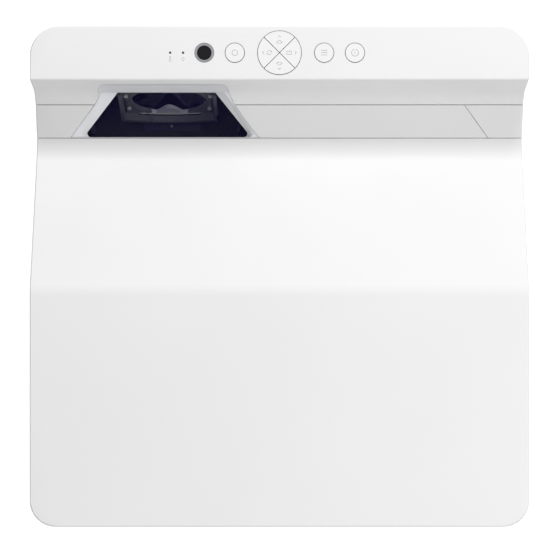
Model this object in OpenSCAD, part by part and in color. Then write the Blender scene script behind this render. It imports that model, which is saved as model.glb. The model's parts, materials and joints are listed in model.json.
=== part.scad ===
// Ultra-short-throw projector: white moulded case with a valley, a window over the
// projection mirror, a key row on the ridge, and the light engine inside.
// X runs across the key row, +Y points away from the screen, Z is up from the foot pads.

/* [Case] */
// Width of the case
case_w = 384; // [382:1:388]
// Depth of the case
case_d = 385; // [383:1:389]
// Height of the deck above the ground
case_h = 130; // [130:0.5:136]
// Gap under the case
foot_gap = 9; // [8:0.5:10]
// Corner radius on the screen side
corner_wall_r = 20; // [16:1:24]
// Corner radius on the ridge side
corner_ridge_r = 23; // [18:1:26]
// Thickness of the moulded walls
wall = 2.6; // [2.2:0.1:2.8]
// Open line between two mouldings
seam = 0.5; // [0.3:0.1:0.6]
// Height of the line between the lower and the upper mouldings
split_z = 30; // [28:1:31]
// Width of the bevel along the upper edges
bevel = 1; // [0.6:0.1:1.4]

/* [Valley] */
// Depth of the valley floor under the deck
valley_drop = 40; // [38:1:41]
// Where the deck turns down into the slope
crease_y = -10.4; // [-14:0.2:-8]
// Where the slope meets the valley floor
slope_foot_y = 100; // [98:1:102]
// Lower edge of the sloped strip
strip_low_y = 109.5; // [109:0.1:110]
// Upper edge of the sloped strip
strip_high_y = 135; // [134.6:0.1:135.6]
// Rise of the sloped strip
strip_rise = 8; // [7:0.5:9]
// Edge between the ridge and its steep face
ridge_edge_y = 150.8; // [150:0.1:152]
// Steepness of the ridge face
face_angle = 75; // [72:1:78]

/* [Window] */
// Middle of the window, across
window_x = -89; // [-91:0.5:-87]
// Width of the visible glass at its lower edge
glass_low_w = 133.2; // [130:0.2:134]
// Width of the visible glass at its upper edge
glass_high_w = 77.1; // [75:0.1:79]
// Depth of the glass under the strip
glass_drop = 4.5; // [4:0.1:5]
// Diameter of the curved area of the mirror
mirror_d = 59.4; // [58:0.2:59.6]
// Radius of curvature of the mirror
mirror_curve_r = 80; // [75:1:100]
// Lean of the mirror from upright
mirror_lean = 25; // [24:1:27]

/* [Keys] */
// Line of the key row
key_y = 171.8; // [171:0.2:172.6]
// Radius of a round key
key_r = 7.4; // [7:0.1:7.6]
// Radius of the round pad
pad_r = 16.8; // [16.4:0.1:17]
// Height of the keys above the ridge
key_proud = 0.4; // [0:0.1:0.8]
// Travel of a key
key_travel = 0.7; // [0.4:0.1:0.8]

/* [Grilles] */
// Length of a side grille
grille_l = 156; // [150:1:158]
// Height of a side grille
grille_h = 72; // [70:1:74]
// Number of louvres in a side grille
louvres = 13; // [9:1:14]
// Tilt of the louvres
louvre_tilt = 35; // [25:1:40]

/* [Feet] */
// Distance of the feet from the middle, both ways
foot_pos = 150; // [148:1:152]
// Radius of a foot pad
foot_r = 14; // [12:0.5:15]
// Radius of a foot's screw
foot_screw_r = 3.94; // [3.92:0.01:3.97]

/* [Focus drive] */
// Gear module of the focus drive
gear_m = 1.5; // [1.4:0.05:1.5]
// Teeth of the focus ring
ring_teeth = 48; // [48:1:50]
// Teeth of the motor pinion
pinion_teeth = 12; // [12:1:14]

/* [Hidden] */
$fn = 64;

big = 500;
arc_step = 3;
white = "#f2f2f0";
pale = "#e2e2e4";
dark = "#2a2a2e";
metal = "#b8bcc0";
board_green = "#2f6b45";

valley_z = case_h - valley_drop;
strip_z = valley_z + strip_rise;
strip_angle = atan(strip_rise / (strip_high_y - strip_low_y));
lip_angle = 28;
plate_t = 3;
shelf_y = strip_low_y - seam / 2;

// --- Plane geometry -------------------------------------------------------------

function unit(v) = v / norm(v);
function cross2(a, b) = a[0] * b[1] - a[1] * b[0];
function flat(p) = [p[0], p[1]];

// The arc that rounds corner b between its neighbours a and c
function fillet(a, b, c, r) =
    r <= 0 ? [b] :
    let (u = unit(a - b))
    let (v = unit(c - b))
    let (half = acos(u * v) / 2)
    let (m = b + unit(u + v) * r / sin(half))
    let (start = b + u * r / tan(half) - m)
    let (a0 = atan2(start[1], start[0]))
    let (turn = 180 - 2 * half)
    let (s = cross2(-u, v) > 0 ? 1 : -1)
    let (n = max(2, ceil(turn / arc_step)))
    [for (i = [0:n]) m + r * [cos(a0 + s * turn * i / n), sin(a0 + s * turn * i / n)]];

// A closed path of [x, y, r] corners with each corner rounded to its radius
function rounded(path) =
    let (n = len(path))
    [for (i = [0:n - 1])
        each fillet(flat(path[(i + n - 1) % n]), flat(path[i]), flat(path[(i + 1) % n]), path[i][2])];

// A closed counter-clockwise path moved inwards by t, or outwards where t is negative
function inset(path, t) =
    let (n = len(path))
    [for (i = [0:n - 1])
        let (d1 = unit(flat(path[i]) - flat(path[(i + n - 1) % n])))
        let (d2 = unit(flat(path[(i + 1) % n]) - flat(path[i])))
        let (n1 = [-d1[1], d1[0]])
        let (n2 = [-d2[1], d2[0]])
        let (b = flat(path[i]) + (n1 + n2) * t / (1 + n1 * n2))
        let (r = path[i][2])
        [b[0], b[1], r == 0 ? 0 : max(0.2, cross2(d1, d2) > 0 ? r - t : r + t)]];

// --- Section of the case in Y and Z ----------------------------------------------

// Height of the strip's plane, and of the lip above it, at y
function strip_at(y) = valley_z + (y - strip_low_y) * tan(strip_angle);
function lip_at(y) = strip_z + (y - strip_high_y) * tan(lip_angle);

// Where the steep face of the ridge would meet the lip's line
kink_y = (ridge_edge_y - (case_h - strip_z) / tan(face_angle) - strip_high_y * tan(lip_angle) / tan(face_angle))
    / (1 - tan(lip_angle) / tan(face_angle));
kink = [kink_y, lip_at(kink_y), 16];

function deck_corners() = [
    [slope_foot_y, valley_z, 50],
    [crease_y, case_h, 25],
    [-case_d / 2, case_h, 0],
];

function ridge_corners(y0) = [
    [case_d / 2, case_h, 0],
    [ridge_edge_y, case_h, 2],
    kink,
    [y0, lip_at(y0), 0],
];

function case_path(z0) = concat(
    [[-case_d / 2, z0, 0], [case_d / 2, z0, 0]],
    ridge_corners(strip_high_y),
    [[strip_low_y, valley_z, 0]],
    deck_corners()
);

// The top cover's section: the strip's recess is one plate lower than the strip
function top_path(z0, y1) = concat(
    [[-case_d / 2, z0, 0], [y1, z0, 0], [y1, strip_at(y1) - plate_t, 0]],
    [[shelf_y, strip_at(shelf_y) - plate_t, 0], [shelf_y, valley_z, 0]],
    deck_corners()
);

function ridge_path(z0, y0) = concat([[y0, z0, 0], [case_d / 2, z0, 0]], ridge_corners(y0));

// --- Helpers ---------------------------------------------------------------------

// Draws a Y-Z outline and sweeps it along X
module across(width = big) rotate([90, 0, 90]) linear_extrude(width, center = true) children();

// Draws on a plane that faces +Y, with X across and Z up, from y0 to y1
module along_y(y0, y1) translate([0, y1, 0]) rotate([90, 0, 0]) linear_extrude(y1 - y0) children();

// Draws on a plane that faces X, with Y across and Z up, from x0 to x1
module along_x(x0, x1) translate([x0, 0, 0]) rotate([90, 0, 90]) linear_extrude(x1 - x0) children();

module block(low, high) translate(low) cube(high - low);

module rod(r, z0, z1) translate([0, 0, z0]) cylinder(r = r, h = z1 - z0);

// Outline of the case seen from above
module plan(t = 0) {
    w = case_w / 2 - t;
    d = case_d / 2 - t;
    rr = corner_ridge_r - t;
    rw = corner_wall_r - t;
    polygon([[-w + rr, d], [-w, d - rr], [-w, -d + rw], [-w + rw, -d], [w - rw, -d], [w, -d + rw], [w, d - rr],
        [w - rr, d]]);
    for (s = [-1, 1]) {
        translate([s * (w - rr), d - rr]) circle(rr);
        translate([s * (w - rw), -d + rw]) circle(rw);
    }
}

// The space inside the case outline, t from its side walls
module column(t, z0, z1) translate([0, 0, z0]) linear_extrude(z1 - z0) plan(t);

module rounded_rect(w, h, r) {
    square([w - 2 * r, h], center = true);
    square([w, h - 2 * r], center = true);
    for (x = [-1, 1])
        for (y = [-1, 1])
            translate([x * (w / 2 - r), y * (h / 2 - r)]) circle(r);
}

// Places children on the strip: x across, y up the strip from its lower edge, z out of it
module on_strip() translate([0, strip_low_y, valley_z]) rotate([strip_angle, 0, 0]) children();

// Distance up the strip of a point at y and d under the strip's plane
function up_strip(y, d = 0) = (y - strip_low_y - d * sin(strip_angle)) / cos(strip_angle);

// Bevel along the whole upper edge: each station is [point on the edge, outward in plan, outward in section]
function side_stations() =
    let (line = rounded(case_path(split_z)))
    let (top = [for (p = line) if (p[1] > split_z + 1) p])
    let (lo = -case_d / 2 + corner_wall_r)
    let (hi = case_d / 2 - corner_ridge_r)
    let (mid = [for (p = top) if (p[0] > lo && p[0] < hi) p])
    let (pts = concat([[hi, case_h]], mid, [[lo, case_h]]))
    let (n = len(pts))
    [for (i = [0:n - 1])
        let (d1 = unit(pts[max(i, 1)] - pts[max(i, 1) - 1]))
        let (d2 = unit(pts[min(i, n - 2) + 1] - pts[min(i, n - 2)]))
        let (n1 = [d1[1], -d1[0]])
        let (n2 = [d2[1], -d2[0]])
        [pts[i], (n1 + n2) / (1 + n1 * n2)]];

function corner_stations(cx, cy, r, a0, a1) = [for (i = [0:8])
    let (a = a0 + (a1 - a0) * i / 8)
    [[cx + r * cos(a), cy + r * sin(a), case_h], [cos(a), sin(a), 0], [0, 0, 1]]];

function side_at(s) = [for (q = side_stations())
    [[s * case_w / 2, q[0][0], q[0][1]], [s, 0, 0], [0, q[1][0], q[1][1]]]];

function reversed(list) = [for (i = [len(list) - 1:-1:0]) list[i]];

function bevel_stations() =
    let (w = case_w / 2)
    let (d = case_d / 2)
    let (right = side_at(1))
    let (left = reversed(side_at(-1)))
    let (inner_right = [for (i = [1:len(right) - 2]) right[i]])
    let (inner_left = [for (i = [1:len(left) - 2]) left[i]])
    concat(
        corner_stations(w - corner_ridge_r, d - corner_ridge_r, corner_ridge_r, 90, 0),
        inner_right,
        corner_stations(w - corner_wall_r, -d + corner_wall_r, corner_wall_r, 0, -90),
        corner_stations(-w + corner_wall_r, -d + corner_wall_r, corner_wall_r, 270, 180),
        inner_left,
        corner_stations(-w + corner_ridge_r, d - corner_ridge_r, corner_ridge_r, 180, 90)
    );

module bevel_cutter() {
    over = 1;
    st = bevel_stations();
    n = len(st);
    points = [for (s = st) each [
        s[0] - s[1] * (bevel + over) + s[2] * over,
        s[0] + s[1] * over - s[2] * (bevel + over),
        s[0] + s[1] * over + s[2] * over]];
    faces = [for (i = [0:n - 1])
        for (j = [0:2])
            [i * 3 + j, ((i + 1) % n) * 3 + j, ((i + 1) % n) * 3 + (j + 1) % 3, i * 3 + (j + 1) % 3]];
    polyhedron(points, faces, convexity = 8);
}

// --- Upper mouldings ---------------------------------------------------------------

grille_y = -case_d / 2 + 26.5 + grille_l / 2;
grille_z = 42 + grille_h / 2;
bay = [[8, 36], [122, 76]];
bay_depth = 7;
post_x = case_w / 2 - 7;

// Bosses on the case: [x, y, radius]
top_posts = [[case_w / 2 - 11, -case_d / 2 + 11.5, 5.8], [post_x, -3, 5]];
ridge_posts = [[case_w / 2 - 10.5, case_d / 2 - 11.5, 5.8]];
screw_r = 1.5;
screw_top = 44;

module case_posts(list, z1)
    for (p = list)
        for (s = [-1, 1])
            translate([s * p[0], p[1], 0]) rod(p[2], split_z + seam, z1);

module case_post_holes(list)
    for (p = list)
        for (s = [-1, 1])
            translate([s * p[0], p[1], 0]) rod(screw_r + 0.05, split_z, screw_top);

module bezel_notch(t) linear_extrude(big) polygon(rounded(inset(bezel_path(), -t)));

module top_cover() color(white) {
    y1 = strip_high_y - seam / 2;
    z0 = split_z + seam / 2;
    difference() {
        union() {
            difference() {
                intersection() {
                    across() polygon(rounded(top_path(z0, y1)));
                    column(0, 0, case_h);
                }
                intersection() {
                    across() polygon(rounded(inset(top_path(z0 - 20, y1 + 20), wall)));
                    column(wall, 0, case_h);
                }
            }
            intersection() {
                union() {
                    case_posts(top_posts, 92);
                    // Walls of the connector bay
                    along_x(case_w / 2 - bay_depth - 2, case_w / 2 - 1) difference() {
                        translate(bay[0] - [2, 2]) square(bay[1] - bay[0] + [4, 4]);
                        translate(bay[0]) square(bay[1] - bay[0]);
                    }
                    // Frames behind the grilles
                    for (s = [-1, 1])
                        grille_surround(s);
                }
                column(0.5, 0, case_h - 1);
            }
            // Tongue that backs the joint with the control cover
            for (s = [-1, 1])
                scale([s, 1, 1])
                    block([case_w / 2 - wall - 2, y1 - 8, z0 + 8], [case_w / 2 - wall, y1 + 4, 88]);
        }
        case_post_holes(top_posts);
        bezel_notch(seam);
        along_x(case_w / 2 - 30, case_w / 2 + 5) translate(bay[0]) square(bay[1] - bay[0]);
        for (s = [-1, 1])
            translate([s * case_w / 2, grille_y, grille_z])
                cube([30, grille_l, grille_h], center = true);
        bevel_cutter();
    }
}

module grille_surround(s) {
    rim = 2.4;
    low = [grille_y - grille_l / 2, grille_z - grille_h / 2];
    along = case_w / 2 - 7;
    scale([s, 1, 1]) along_x(along, case_w / 2 - 1) difference() {
        translate(low - [rim, rim]) square([grille_l + 2 * rim, grille_h + 2 * rim]);
        translate(low) square([grille_l, grille_h]);
    }
}

key_xs = [-34.3, 34.3, 58];
pad_hole_r = pad_r + 0.3;
key_hole_r = key_r + 0.3;
receiver_x = -57.8;
receiver_r = 7.7;
pipe_xs = [-84, -74.1];
pipe_r = 0.9;
board_z = [117.2, 118.8];
board_posts = [-92, -20.5, 20.5, 71];

speaker_at = [112, 76];
speaker_pins = [28.5, 16.5];
speaker_back = case_d / 2 - wall - 2.3;

// Slots in front of a loudspeaker, their ends on an oval
module speaker_slots() {
    pitch = 4.2;
    for (i = [-7:7])
        translate([i * pitch, 0]) slot(1.8, 36 * sqrt(1 - pow(i / 8.5, 2)));
}

// Draws at both loudspeakers, from y0 to y1
module at_speakers(y0, y1) along_y(y0, y1)
    for (s = [-1, 1])
        translate([s * speaker_at[0], speaker_at[1]]) children();

module speaker_pins(r)
    for (x = [-1, 1])
        for (z = [-1, 1])
            translate([x * speaker_pins[0], z * speaker_pins[1]]) circle(r);

module control_cover() color(white) {
    y0 = strip_high_y + seam / 2;
    z0 = split_z + seam / 2;
    difference() {
        union() {
            difference() {
                intersection() {
                    across() polygon(rounded(ridge_path(z0, y0)));
                    column(0, 0, case_h);
                }
                intersection() {
                    across() polygon(rounded(inset(ridge_path(z0 - 20, y0 - 20), wall)));
                    column(wall, 0, case_h);
                }
            }
            intersection() {
                case_posts(ridge_posts, 100);
                column(0.5, 0, case_h - 1);
            }
            for (x = board_posts)
                translate([x, key_y + 12, 0]) rod(2.5, board_z[1], case_h - 1);
            at_speakers(speaker_back - 1.5, case_d / 2 - 1) speaker_pins(1.5);
        }
        case_post_holes(ridge_posts);
        bezel_notch(seam / 2);
        translate([0, key_y, 0]) {
            rod(pad_hole_r, board_z[1], case_h + 5);
            for (x = key_xs)
                translate([x, 0, 0]) rod(key_hole_r, board_z[1], case_h + 5);
            translate([receiver_x, 0, 0]) rod(receiver_r, board_z[1], case_h + 5);
            for (x = pipe_xs)
                translate([x, 0, 0]) rod(pipe_r + 0.05, board_z[1], case_h + 5);
        }
        at_speakers(case_d / 2 - 10, case_d / 2 + 5) speaker_slots();
        bevel_cutter();
    }
}

// --- Sloped strip ------------------------------------------------------------------

// The slanted line between a cheek and the strip's middle, at its lower and upper edge
cheek_low_x = 164.8;
cheek_high_x = 145.2;

function strip_path() =
    let (a = strip_low_y + seam / 2)
    let (b = strip_high_y - seam / 2)
    [[a, strip_at(a) - plate_t], [b, strip_at(b) - plate_t], [b, strip_at(b)], [a, strip_at(a)]];

module strip_plate(outline) difference() {
    intersection() {
        across() polygon(strip_path());
        column(0, 0, case_h);
        linear_extrude(big) polygon(outline);
    }
    bevel_cutter();
}

module cheek_right() color(white)
    strip_plate([[cheek_low_x + seam, strip_low_y], [big, strip_low_y], [big, strip_high_y],
        [cheek_high_x + seam, strip_high_y]]);

module cheek_left() color(white)
    strip_plate([[-big, strip_low_y], [-cheek_low_x - seam, strip_low_y], [-cheek_high_x - seam, strip_high_y],
        [-big, strip_high_y]]);

module window_panel() color(white) difference() {
    strip_plate([[-60, strip_low_y], [cheek_low_x, strip_low_y], [cheek_high_x, strip_high_y], [-60, strip_high_y]]);
    bezel_notch(seam / 2);
}

// --- Window ------------------------------------------------------------------------

// Outline of the bezel from above, counter-clockwise
function bezel_path() = [
    [-cheek_low_x, strip_low_y + seam / 2, 0],
    [-16.2, strip_low_y + seam / 2, 0],
    [-27.8, 124.3, 20],
    [-36.6, 137.2, 12],
    [-41.6, 148.2, 4],
    [-141.2, 148.2, 4],
    [-141.2, 141.5, 6],
    [-cheek_high_x, strip_high_y, 6],
];

// The visible glass on its own plane: [x, y up the strip, corner radius]
glass_low = up_strip(110.4, glass_drop);
glass_high = up_strip(144.7, glass_drop);
glass_path = [
    [window_x - glass_low_w / 2, glass_low, 3],
    [window_x + glass_low_w / 2, glass_low, 3],
    [window_x + glass_high_w / 2, glass_high, 1.2],
    [window_x - glass_high_w / 2, glass_high, 1.2],
];

// Corners of the funnel where it leaves the strip's plane
funnel_path = [
    [-163, up_strip(110.1), 3.5],
    [-18, up_strip(110.1), 3.5],
    [-43.8, up_strip(145.4), 4],
    [-138.8, up_strip(145.4), 4],
];
glass_t = 2.2;
glass_lap = 2;
bezel_t = 9;

module thin(z, path) translate([0, 0, z]) linear_extrude(0.01) polygon(rounded(path));

module window_bezel() color(pale) difference() {
    intersection() {
        across() polygon(rounded(case_path(0)));
        linear_extrude(big) polygon(rounded(bezel_path()));
        on_strip() translate([-big / 2, -20, -bezel_t]) cube([big, 80, 80]);
    }
    on_strip() {
        hull() {
            thin(-glass_drop, glass_path);
            thin(0, funnel_path);
        }
        hull() {
            thin(0, funnel_path);
            thin(34, [for (i = [0:3]) funnel_path[i] + (i > 1 ? [0, 1.6, 0] : [0, -12, 0])]);
        }
        translate([0, 0, -bezel_t - 1]) linear_extrude(bezel_t + 1 - glass_drop) polygon(rounded(glass_path));
        translate([0, 0, -bezel_t - 1])
            linear_extrude(bezel_t + 1 - glass_drop - 0.6) polygon(rounded(inset(glass_path, -glass_lap)));
    }
}

module window_glass() color("#20204a", 0.6) difference() {
    on_strip() translate([0, 0, -glass_drop - 0.6 - glass_t])
        linear_extrude(glass_t) polygon(rounded(inset(glass_path, -glass_lap + 0.1)));
    block([-big, 0, 0], [big, strip_low_y + 0.45, big]);
}

// --- Mirror ------------------------------------------------------------------------

mirror_at = [window_x, 146.7, 76];
mirror_t = 9;
// Middle of the curved area and of the oval opening, below the holder's middle
dish_y = -6;
oval_y = -8.5;
blank_w = 60;
blank_h = 62;
holder_w = 78;
clip_at = [[32.4, -18], [33.6, 1]];

module at_mirror() translate(mirror_at) rotate([90 - mirror_lean, 0, 0]) children();

module mirror() color("#c8d0e0") at_mirror() translate([0, dish_y, 0]) difference() {
    translate([0, 0, -mirror_t]) linear_extrude(mirror_t) rounded_rect(blank_w, blank_h, 8);
    translate([0, 0, sqrt(pow(mirror_curve_r, 2) - pow(mirror_d / 2, 2))])
        rotate_extrude($fn = 96) difference() {
            circle(mirror_curve_r);
            translate([-2 * mirror_curve_r, -mirror_curve_r]) square(2 * mirror_curve_r);
        }
}

// Outline of the holder's front, whose lower edge is a shallow arc
module holder_outline(low, arc_r) intersection() {
    translate([0, -8]) rounded_rect(holder_w, 72, 5);
    translate([0, arc_r - low]) circle(arc_r, $fn = 360);
}

// Oval in front of the mirror, with a bell-shaped tab at its lower edge
module oval_opening() difference() {
    scale([29.3, 18.6]) circle(1, $fn = 96);
    polygon([for (x = [-24:1.5:24]) [x, -20.5 + 11.5 * exp(-pow(x / 9.5, 2))], [24, -30], [-24, -30]]);
}

module mirror_holder() color("#3c3c42") {
    back_low = -40;
    plate_low = 42.6;
    plate_arc_r = 350;
    ledge_low = 28.8;
    ledge_arc_r = 196;
    ledge_t = 3;
    ledge_front = 9.6;
    pillar_t = 3;
    slot_x = 35.2;
    slot = [1.3, 21, 6];
    difference() {
        at_mirror() {
            difference() {
                union() {
                    translate([0, 0, -3]) linear_extrude(6) holder_outline(plate_low, plate_arc_r);
                    translate([-holder_w / 2, back_low, -mirror_t - 4]) cube([holder_w, 66, mirror_t + 2]);
                    // Pillars and curved ledge that frame the oval
                    translate([0, 0, 2]) linear_extrude(ledge_front - 2) difference() {
                        holder_outline(ledge_low + ledge_t, ledge_arc_r);
                        intersection() {
                            square([holder_w - 2 * pillar_t, 100], center = true);
                            translate([0, ledge_arc_r - ledge_low]) circle(ledge_arc_r, $fn = 360);
                        }
                        translate([-50, 12]) square([100, 30]);
                    }
                }
                // The mirror slides in from above, behind the oval
                translate([-blank_w / 2 - 0.3, dish_y - blank_h / 2 - 0.3, -mirror_t])
                    cube([blank_w + 0.6, 80, mirror_t + 0.1]);
                translate([0, oval_y, 0]) linear_extrude(5, scale = 1.06) oval_opening();
                for (s = [-1, 1]) {
                    for (c = clip_at)
                        translate([s * c[0], c[1], -2]) cylinder(r = 1.2, h = 10);
                    translate([s * slot_x - slot[0] / 2, -25, -2]) cube(slot);
                }
            }
        }
        translate([window_x, 0, 0]) block([-big, 0, 0], [big, 200, chamber_floor]);
    }
    // Two legs that stand on the chamber's floor behind the plate
    for (s = [-1, 1])
        along_x(window_x + s * 26 - 4, window_x + s * 26 + 4)
            polygon([[144, chamber_floor], [167, chamber_floor], [167, chamber_floor + 3], [157.5, 68], [144.5, 44]]);
}

// Clip screws at both sides of the mirror
module mirror_screws() color(metal) at_mirror()
    for (s = [-1, 1])
        for (c = clip_at)
            translate([s * c[0], c[1], 0]) {
                translate([0, 0, 3]) cylinder(r = 1.6, h = 1.4);
                translate([0, 0, -1.9]) cylinder(r = 1.15, h = 5);
            }

chamber_floor = 33;
chamber_top = 105;
chamber_path = [[-160, 98, 0], [-20, 98, 0], [-20, 116, 0], [-38, 140, 0], [-38, 174, 0], [-139.5, 174, 0],
    [-139.5, 140, 0], [-160, 116, 0]];

// Black box under the window, open towards the lens and under the glass
module mirror_chamber() color(dark) difference() {
    under = bezel_t / cos(strip_angle) + 0.3;
    translate([0, 0, chamber_floor - 2]) linear_extrude(chamber_top - chamber_floor + 2)
        polygon([for (p = chamber_path) flat(p)]);
    translate([0, 0, chamber_floor]) linear_extrude(big) polygon([for (p = inset(chamber_path, 2)) flat(p)]);
    // Cut back under the bezel and under the valley floor beside it
    across() polygon([[0, strip_at(0) - under], [150.5, strip_at(150.5) - under], [150.5, big], [0, big]]);
    along_y(90, 105) translate([window_x, lens_z]) rounded_rect(64, 36, 10);
}

// --- Keys --------------------------------------------------------------------------

cap_z = case_h - 3;
flange_z = [124.8, 126.8];
stem_end = 122.4;

module round_key(x) color(white) translate([x, key_y, 0]) {
    rod(key_r, cap_z - 0.5, case_h + key_proud);
    rod(key_r + 1.1, flange_z[0], flange_z[1]);
    rod(2.5, stem_end, flange_z[0] + 1);
}

// One quarter of the pad, facing the angle a
module pad_key(a) color(white) translate([0, key_y, 0]) rotate([0, 0, a]) {
    gap = 0.35;
    intersection() {
        rod(pad_r, cap_z - 0.5, case_h + key_proud);
        linear_extrude(big) polygon([[gap, 0], [30 + gap, -30], [30 + gap, 30]]);
    }
    intersection() {
        difference() {
            rod(pad_r + 1.2, flange_z[0], flange_z[1]);
            rod(6, 0, big);
        }
        linear_extrude(big) polygon([[gap, 0], [30 + gap, -30], [30 + gap, 30]]);
    }
    translate([10.5, 0, 0]) rod(2.5, stem_end, flange_z[0] + 1);
}

module key_right() pad_key(0);
module key_up() pad_key(90);
module key_left() pad_key(180);
module key_down() pad_key(270);
module key_info() round_key(key_xs[0]);
module key_menu() round_key(key_xs[1]);
module key_power() round_key(key_xs[2]);

switch_places = concat([for (x = key_xs) [x, 0]], [for (a = [0:90:270]) 10.5 * [cos(a), sin(a)]]);

module keypad_board() color(board_green) difference() {
    block([-98, key_y - 15, board_z[0]], [78, key_y + 15, board_z[1]]);
    for (x = board_posts)
        translate([x, key_y + 12, 0]) rod(1.2, 0, big);
}

module key_switches() color(dark)
    for (p = switch_places)
        translate([p[0], key_y + p[1], 0]) {
            translate([-3, -3, board_z[1]]) cube([6, 6, 1.6]);
            rod(1.7, board_z[1] + 1, stem_end - key_travel - 0.2);
        }

// Receiver window, one moulding with a lower rim round its lens, and the sensor under it
module receiver_window() color("#101012") translate([receiver_x, key_y, 0]) {
    rod(receiver_r - 0.05, case_h - 3, case_h - 0.5);
    rod(6.4, case_h - 4, case_h - 0.1);
    translate([-3.5, -3, board_z[1]]) cube([7, 6, case_h - 3.9 - board_z[1]]);
}

module light_pipes() color("#c8c8cc")
    for (x = pipe_xs)
        translate([x, key_y, 0]) {
            rod(pipe_r, board_z[1] + 1.2, case_h - 0.1);
            translate([-1.6, -1.2, board_z[1]]) cube([3.2, 2.4, 1.2]);
        }

// Oval units with an open cone, each held on four pins of the cover
module loudspeakers() color(dark) difference() {
    union() {
        at_speakers(speaker_back, speaker_back + 2) difference() {
            rounded_rect(66, 42, 8);
            speaker_pins(1.6);
        }
        for (s = [-1, 1])
            translate([s * speaker_at[0], speaker_back + 0.1, speaker_at[1]]) rotate([90, 0, 0]) {
                cylinder(r1 = 18, r2 = 12, h = 8);
                cylinder(r = 12, h = 13);
            }
    }
    for (s = [-1, 1])
        translate([s * speaker_at[0], speaker_back + 2.01, speaker_at[1]]) rotate([90, 0, 0])
            cylinder(r1 = 16, r2 = 6, h = 8);
}

// --- Lower moulding -----------------------------------------------------------------

floor_z = foot_gap + 3;
foot_boss_top = 37;
mount_pitch = [180, 120];
mount_hole_r = 2.1;
mount_hole_l = 10;
foot_places = [for (x = [-1, 1]) for (y = [-1, 1]) [x * foot_pos, y * foot_pos]];
all_posts = concat(top_posts, ridge_posts);

// A slot with round ends, l long over its ends along Y
module slot(w, l) {
    square([w, l - w], center = true);
    for (s = [-1, 1])
        translate([0, s * (l - w) / 2]) circle(w / 2);
}

module underside_vents() for (i = [0:15]) {
    translate([20 + i * 7, -150]) slot(3, 44);
    translate([-125 + i * 7, -150]) slot(3, 26);
}

// Walls and floor, with a tongue that stands up behind the joint with the upper mouldings
module tray() {
    hull() {
        column(3, foot_gap, foot_gap + 0.01);
        column(0, floor_z, floor_z + 0.01);
    }
    difference() {
        column(0, floor_z, split_z - seam / 2);
        column(wall, floor_z, big);
    }
    difference() {
        union() {
            column(wall - 0.5, split_z - 6, split_z - seam / 2 - 0.3);
            column(wall + 0.3, split_z - 1, split_z + 3);
        }
        column(wall + 1.9, 0, big);
    }
}

module bottom_cover() color(white) difference() {
    union() {
        difference() {
            tray();
            for (p = all_posts)
                for (s = [-1, 1])
                    translate([s * p[0], p[1], 0]) rod(p[2] + 0.4, split_z, big);
        }
        for (p = foot_places)
            translate([p[0], p[1], 0]) rod(8, foot_gap + 1, foot_boss_top);
        for (x = [-1, 1])
            for (y = [-1, 1])
                translate([x * mount_pitch[0] / 2, y * mount_pitch[1] / 2, 0]) rod(6, foot_gap + 1, foot_gap + 11.8);
        for (p = all_posts)
            for (s = [-1, 1])
                translate([s * p[0], p[1], 0]) rod(p[2], foot_gap + 1, split_z);
        // Standoffs of the boards and of the optical engine
        for (p = [[108, -14], [174, -14], [108, 119], [174, 119]])
            translate([p[0], p[1], 0]) rod(3.5, floor_z - 1, main_board_z);
        for (p = [[-14, -29], [90, -29], [-14, 89], [90, 89]])
            translate([p[0], p[1], 0]) rod(3.5, floor_z - 1, supply_z);
        for (p = [[-134, -112], [-36, -112], [-134, -40], [-36, -40]])
            translate([p[0], p[1], 0]) rod(4, floor_z - 1, engine_low[2]);
        for (p = [[-152, 106], [-28, 106], [-125, 162], [-50, 162]])
            translate([p[0], p[1], 0]) rod(4, floor_z - 1, chamber_floor - 2);
        for (p = [[60, -110], [115, -110], [60, -60], [115, -60]])
            translate([p[0], p[1], 0]) rod(4, floor_z - 1, laser_low[2]);
    }
    for (p = foot_places)
        translate([p[0], p[1], 0]) rod(4, 0, foot_boss_top + 5);
    for (x = [-1, 1])
        for (y = [-1, 1])
            translate([x * mount_pitch[0] / 2, y * mount_pitch[1] / 2, 0])
                rod(mount_hole_r, 0, foot_gap + mount_hole_l);
    for (p = all_posts)
        for (s = [-1, 1])
            translate([s * p[0], p[1], 0]) {
                rod(3.4, 0, foot_gap + 5);
                rod(1.8, 0, big);
            }
    translate([0, 0, foot_gap - 1]) linear_extrude(10) underside_vents();
    for (p = foot_places)
        translate([p[0], p[1], 0]) rod(foot_r + 2.5, 0, foot_gap + 1);
}

module case_screws() color(metal)
    for (p = all_posts)
        for (s = [-1, 1])
            translate([s * p[0], p[1], 0]) difference() {
                union() {
                    rod(3, foot_gap + 2.6, foot_gap + 5);
                    rod(screw_r, foot_gap + 4, screw_top - 3);
                }
                translate([-2, -0.4, 0]) cube([4, 0.8, foot_gap + 3.8]);
                translate([-0.4, -2, 0]) cube([0.8, 4, foot_gap + 3.8]);
            }

// --- Feet ----------------------------------------------------------------------------

pad_t = 3.5;
knob_top = foot_gap + 0.6;

module foot_pad(i) color("#3a3a3c") translate([foot_places[i][0], foot_places[i][1], 0]) {
    rod(foot_r - 1, 0, pad_t);
    rod(3, 1, pad_t + 2);
}

module foot_screw(i) color("#4a4a4e") translate([foot_places[i][0], foot_places[i][1], 0]) difference() {
    union() {
        difference() {
            rod(foot_r, pad_t, knob_top);
            for (a = [0:20:340])
                rotate([0, 0, a]) translate([foot_r + 0.6, 0, 0]) rod(1.5, 0, 20);
        }
        rod(foot_screw_r, pad_t, foot_boss_top - 2);
    }
    rod(3.06, 0, pad_t + 2.2);
}

module foot_pad_1() foot_pad(0);
module foot_pad_2() foot_pad(1);
module foot_pad_3() foot_pad(2);
module foot_pad_4() foot_pad(3);
module foot_screw_1() foot_screw(0);
module foot_screw_2() foot_screw(1);
module foot_screw_3() foot_screw(2);
module foot_screw_4() foot_screw(3);

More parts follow.
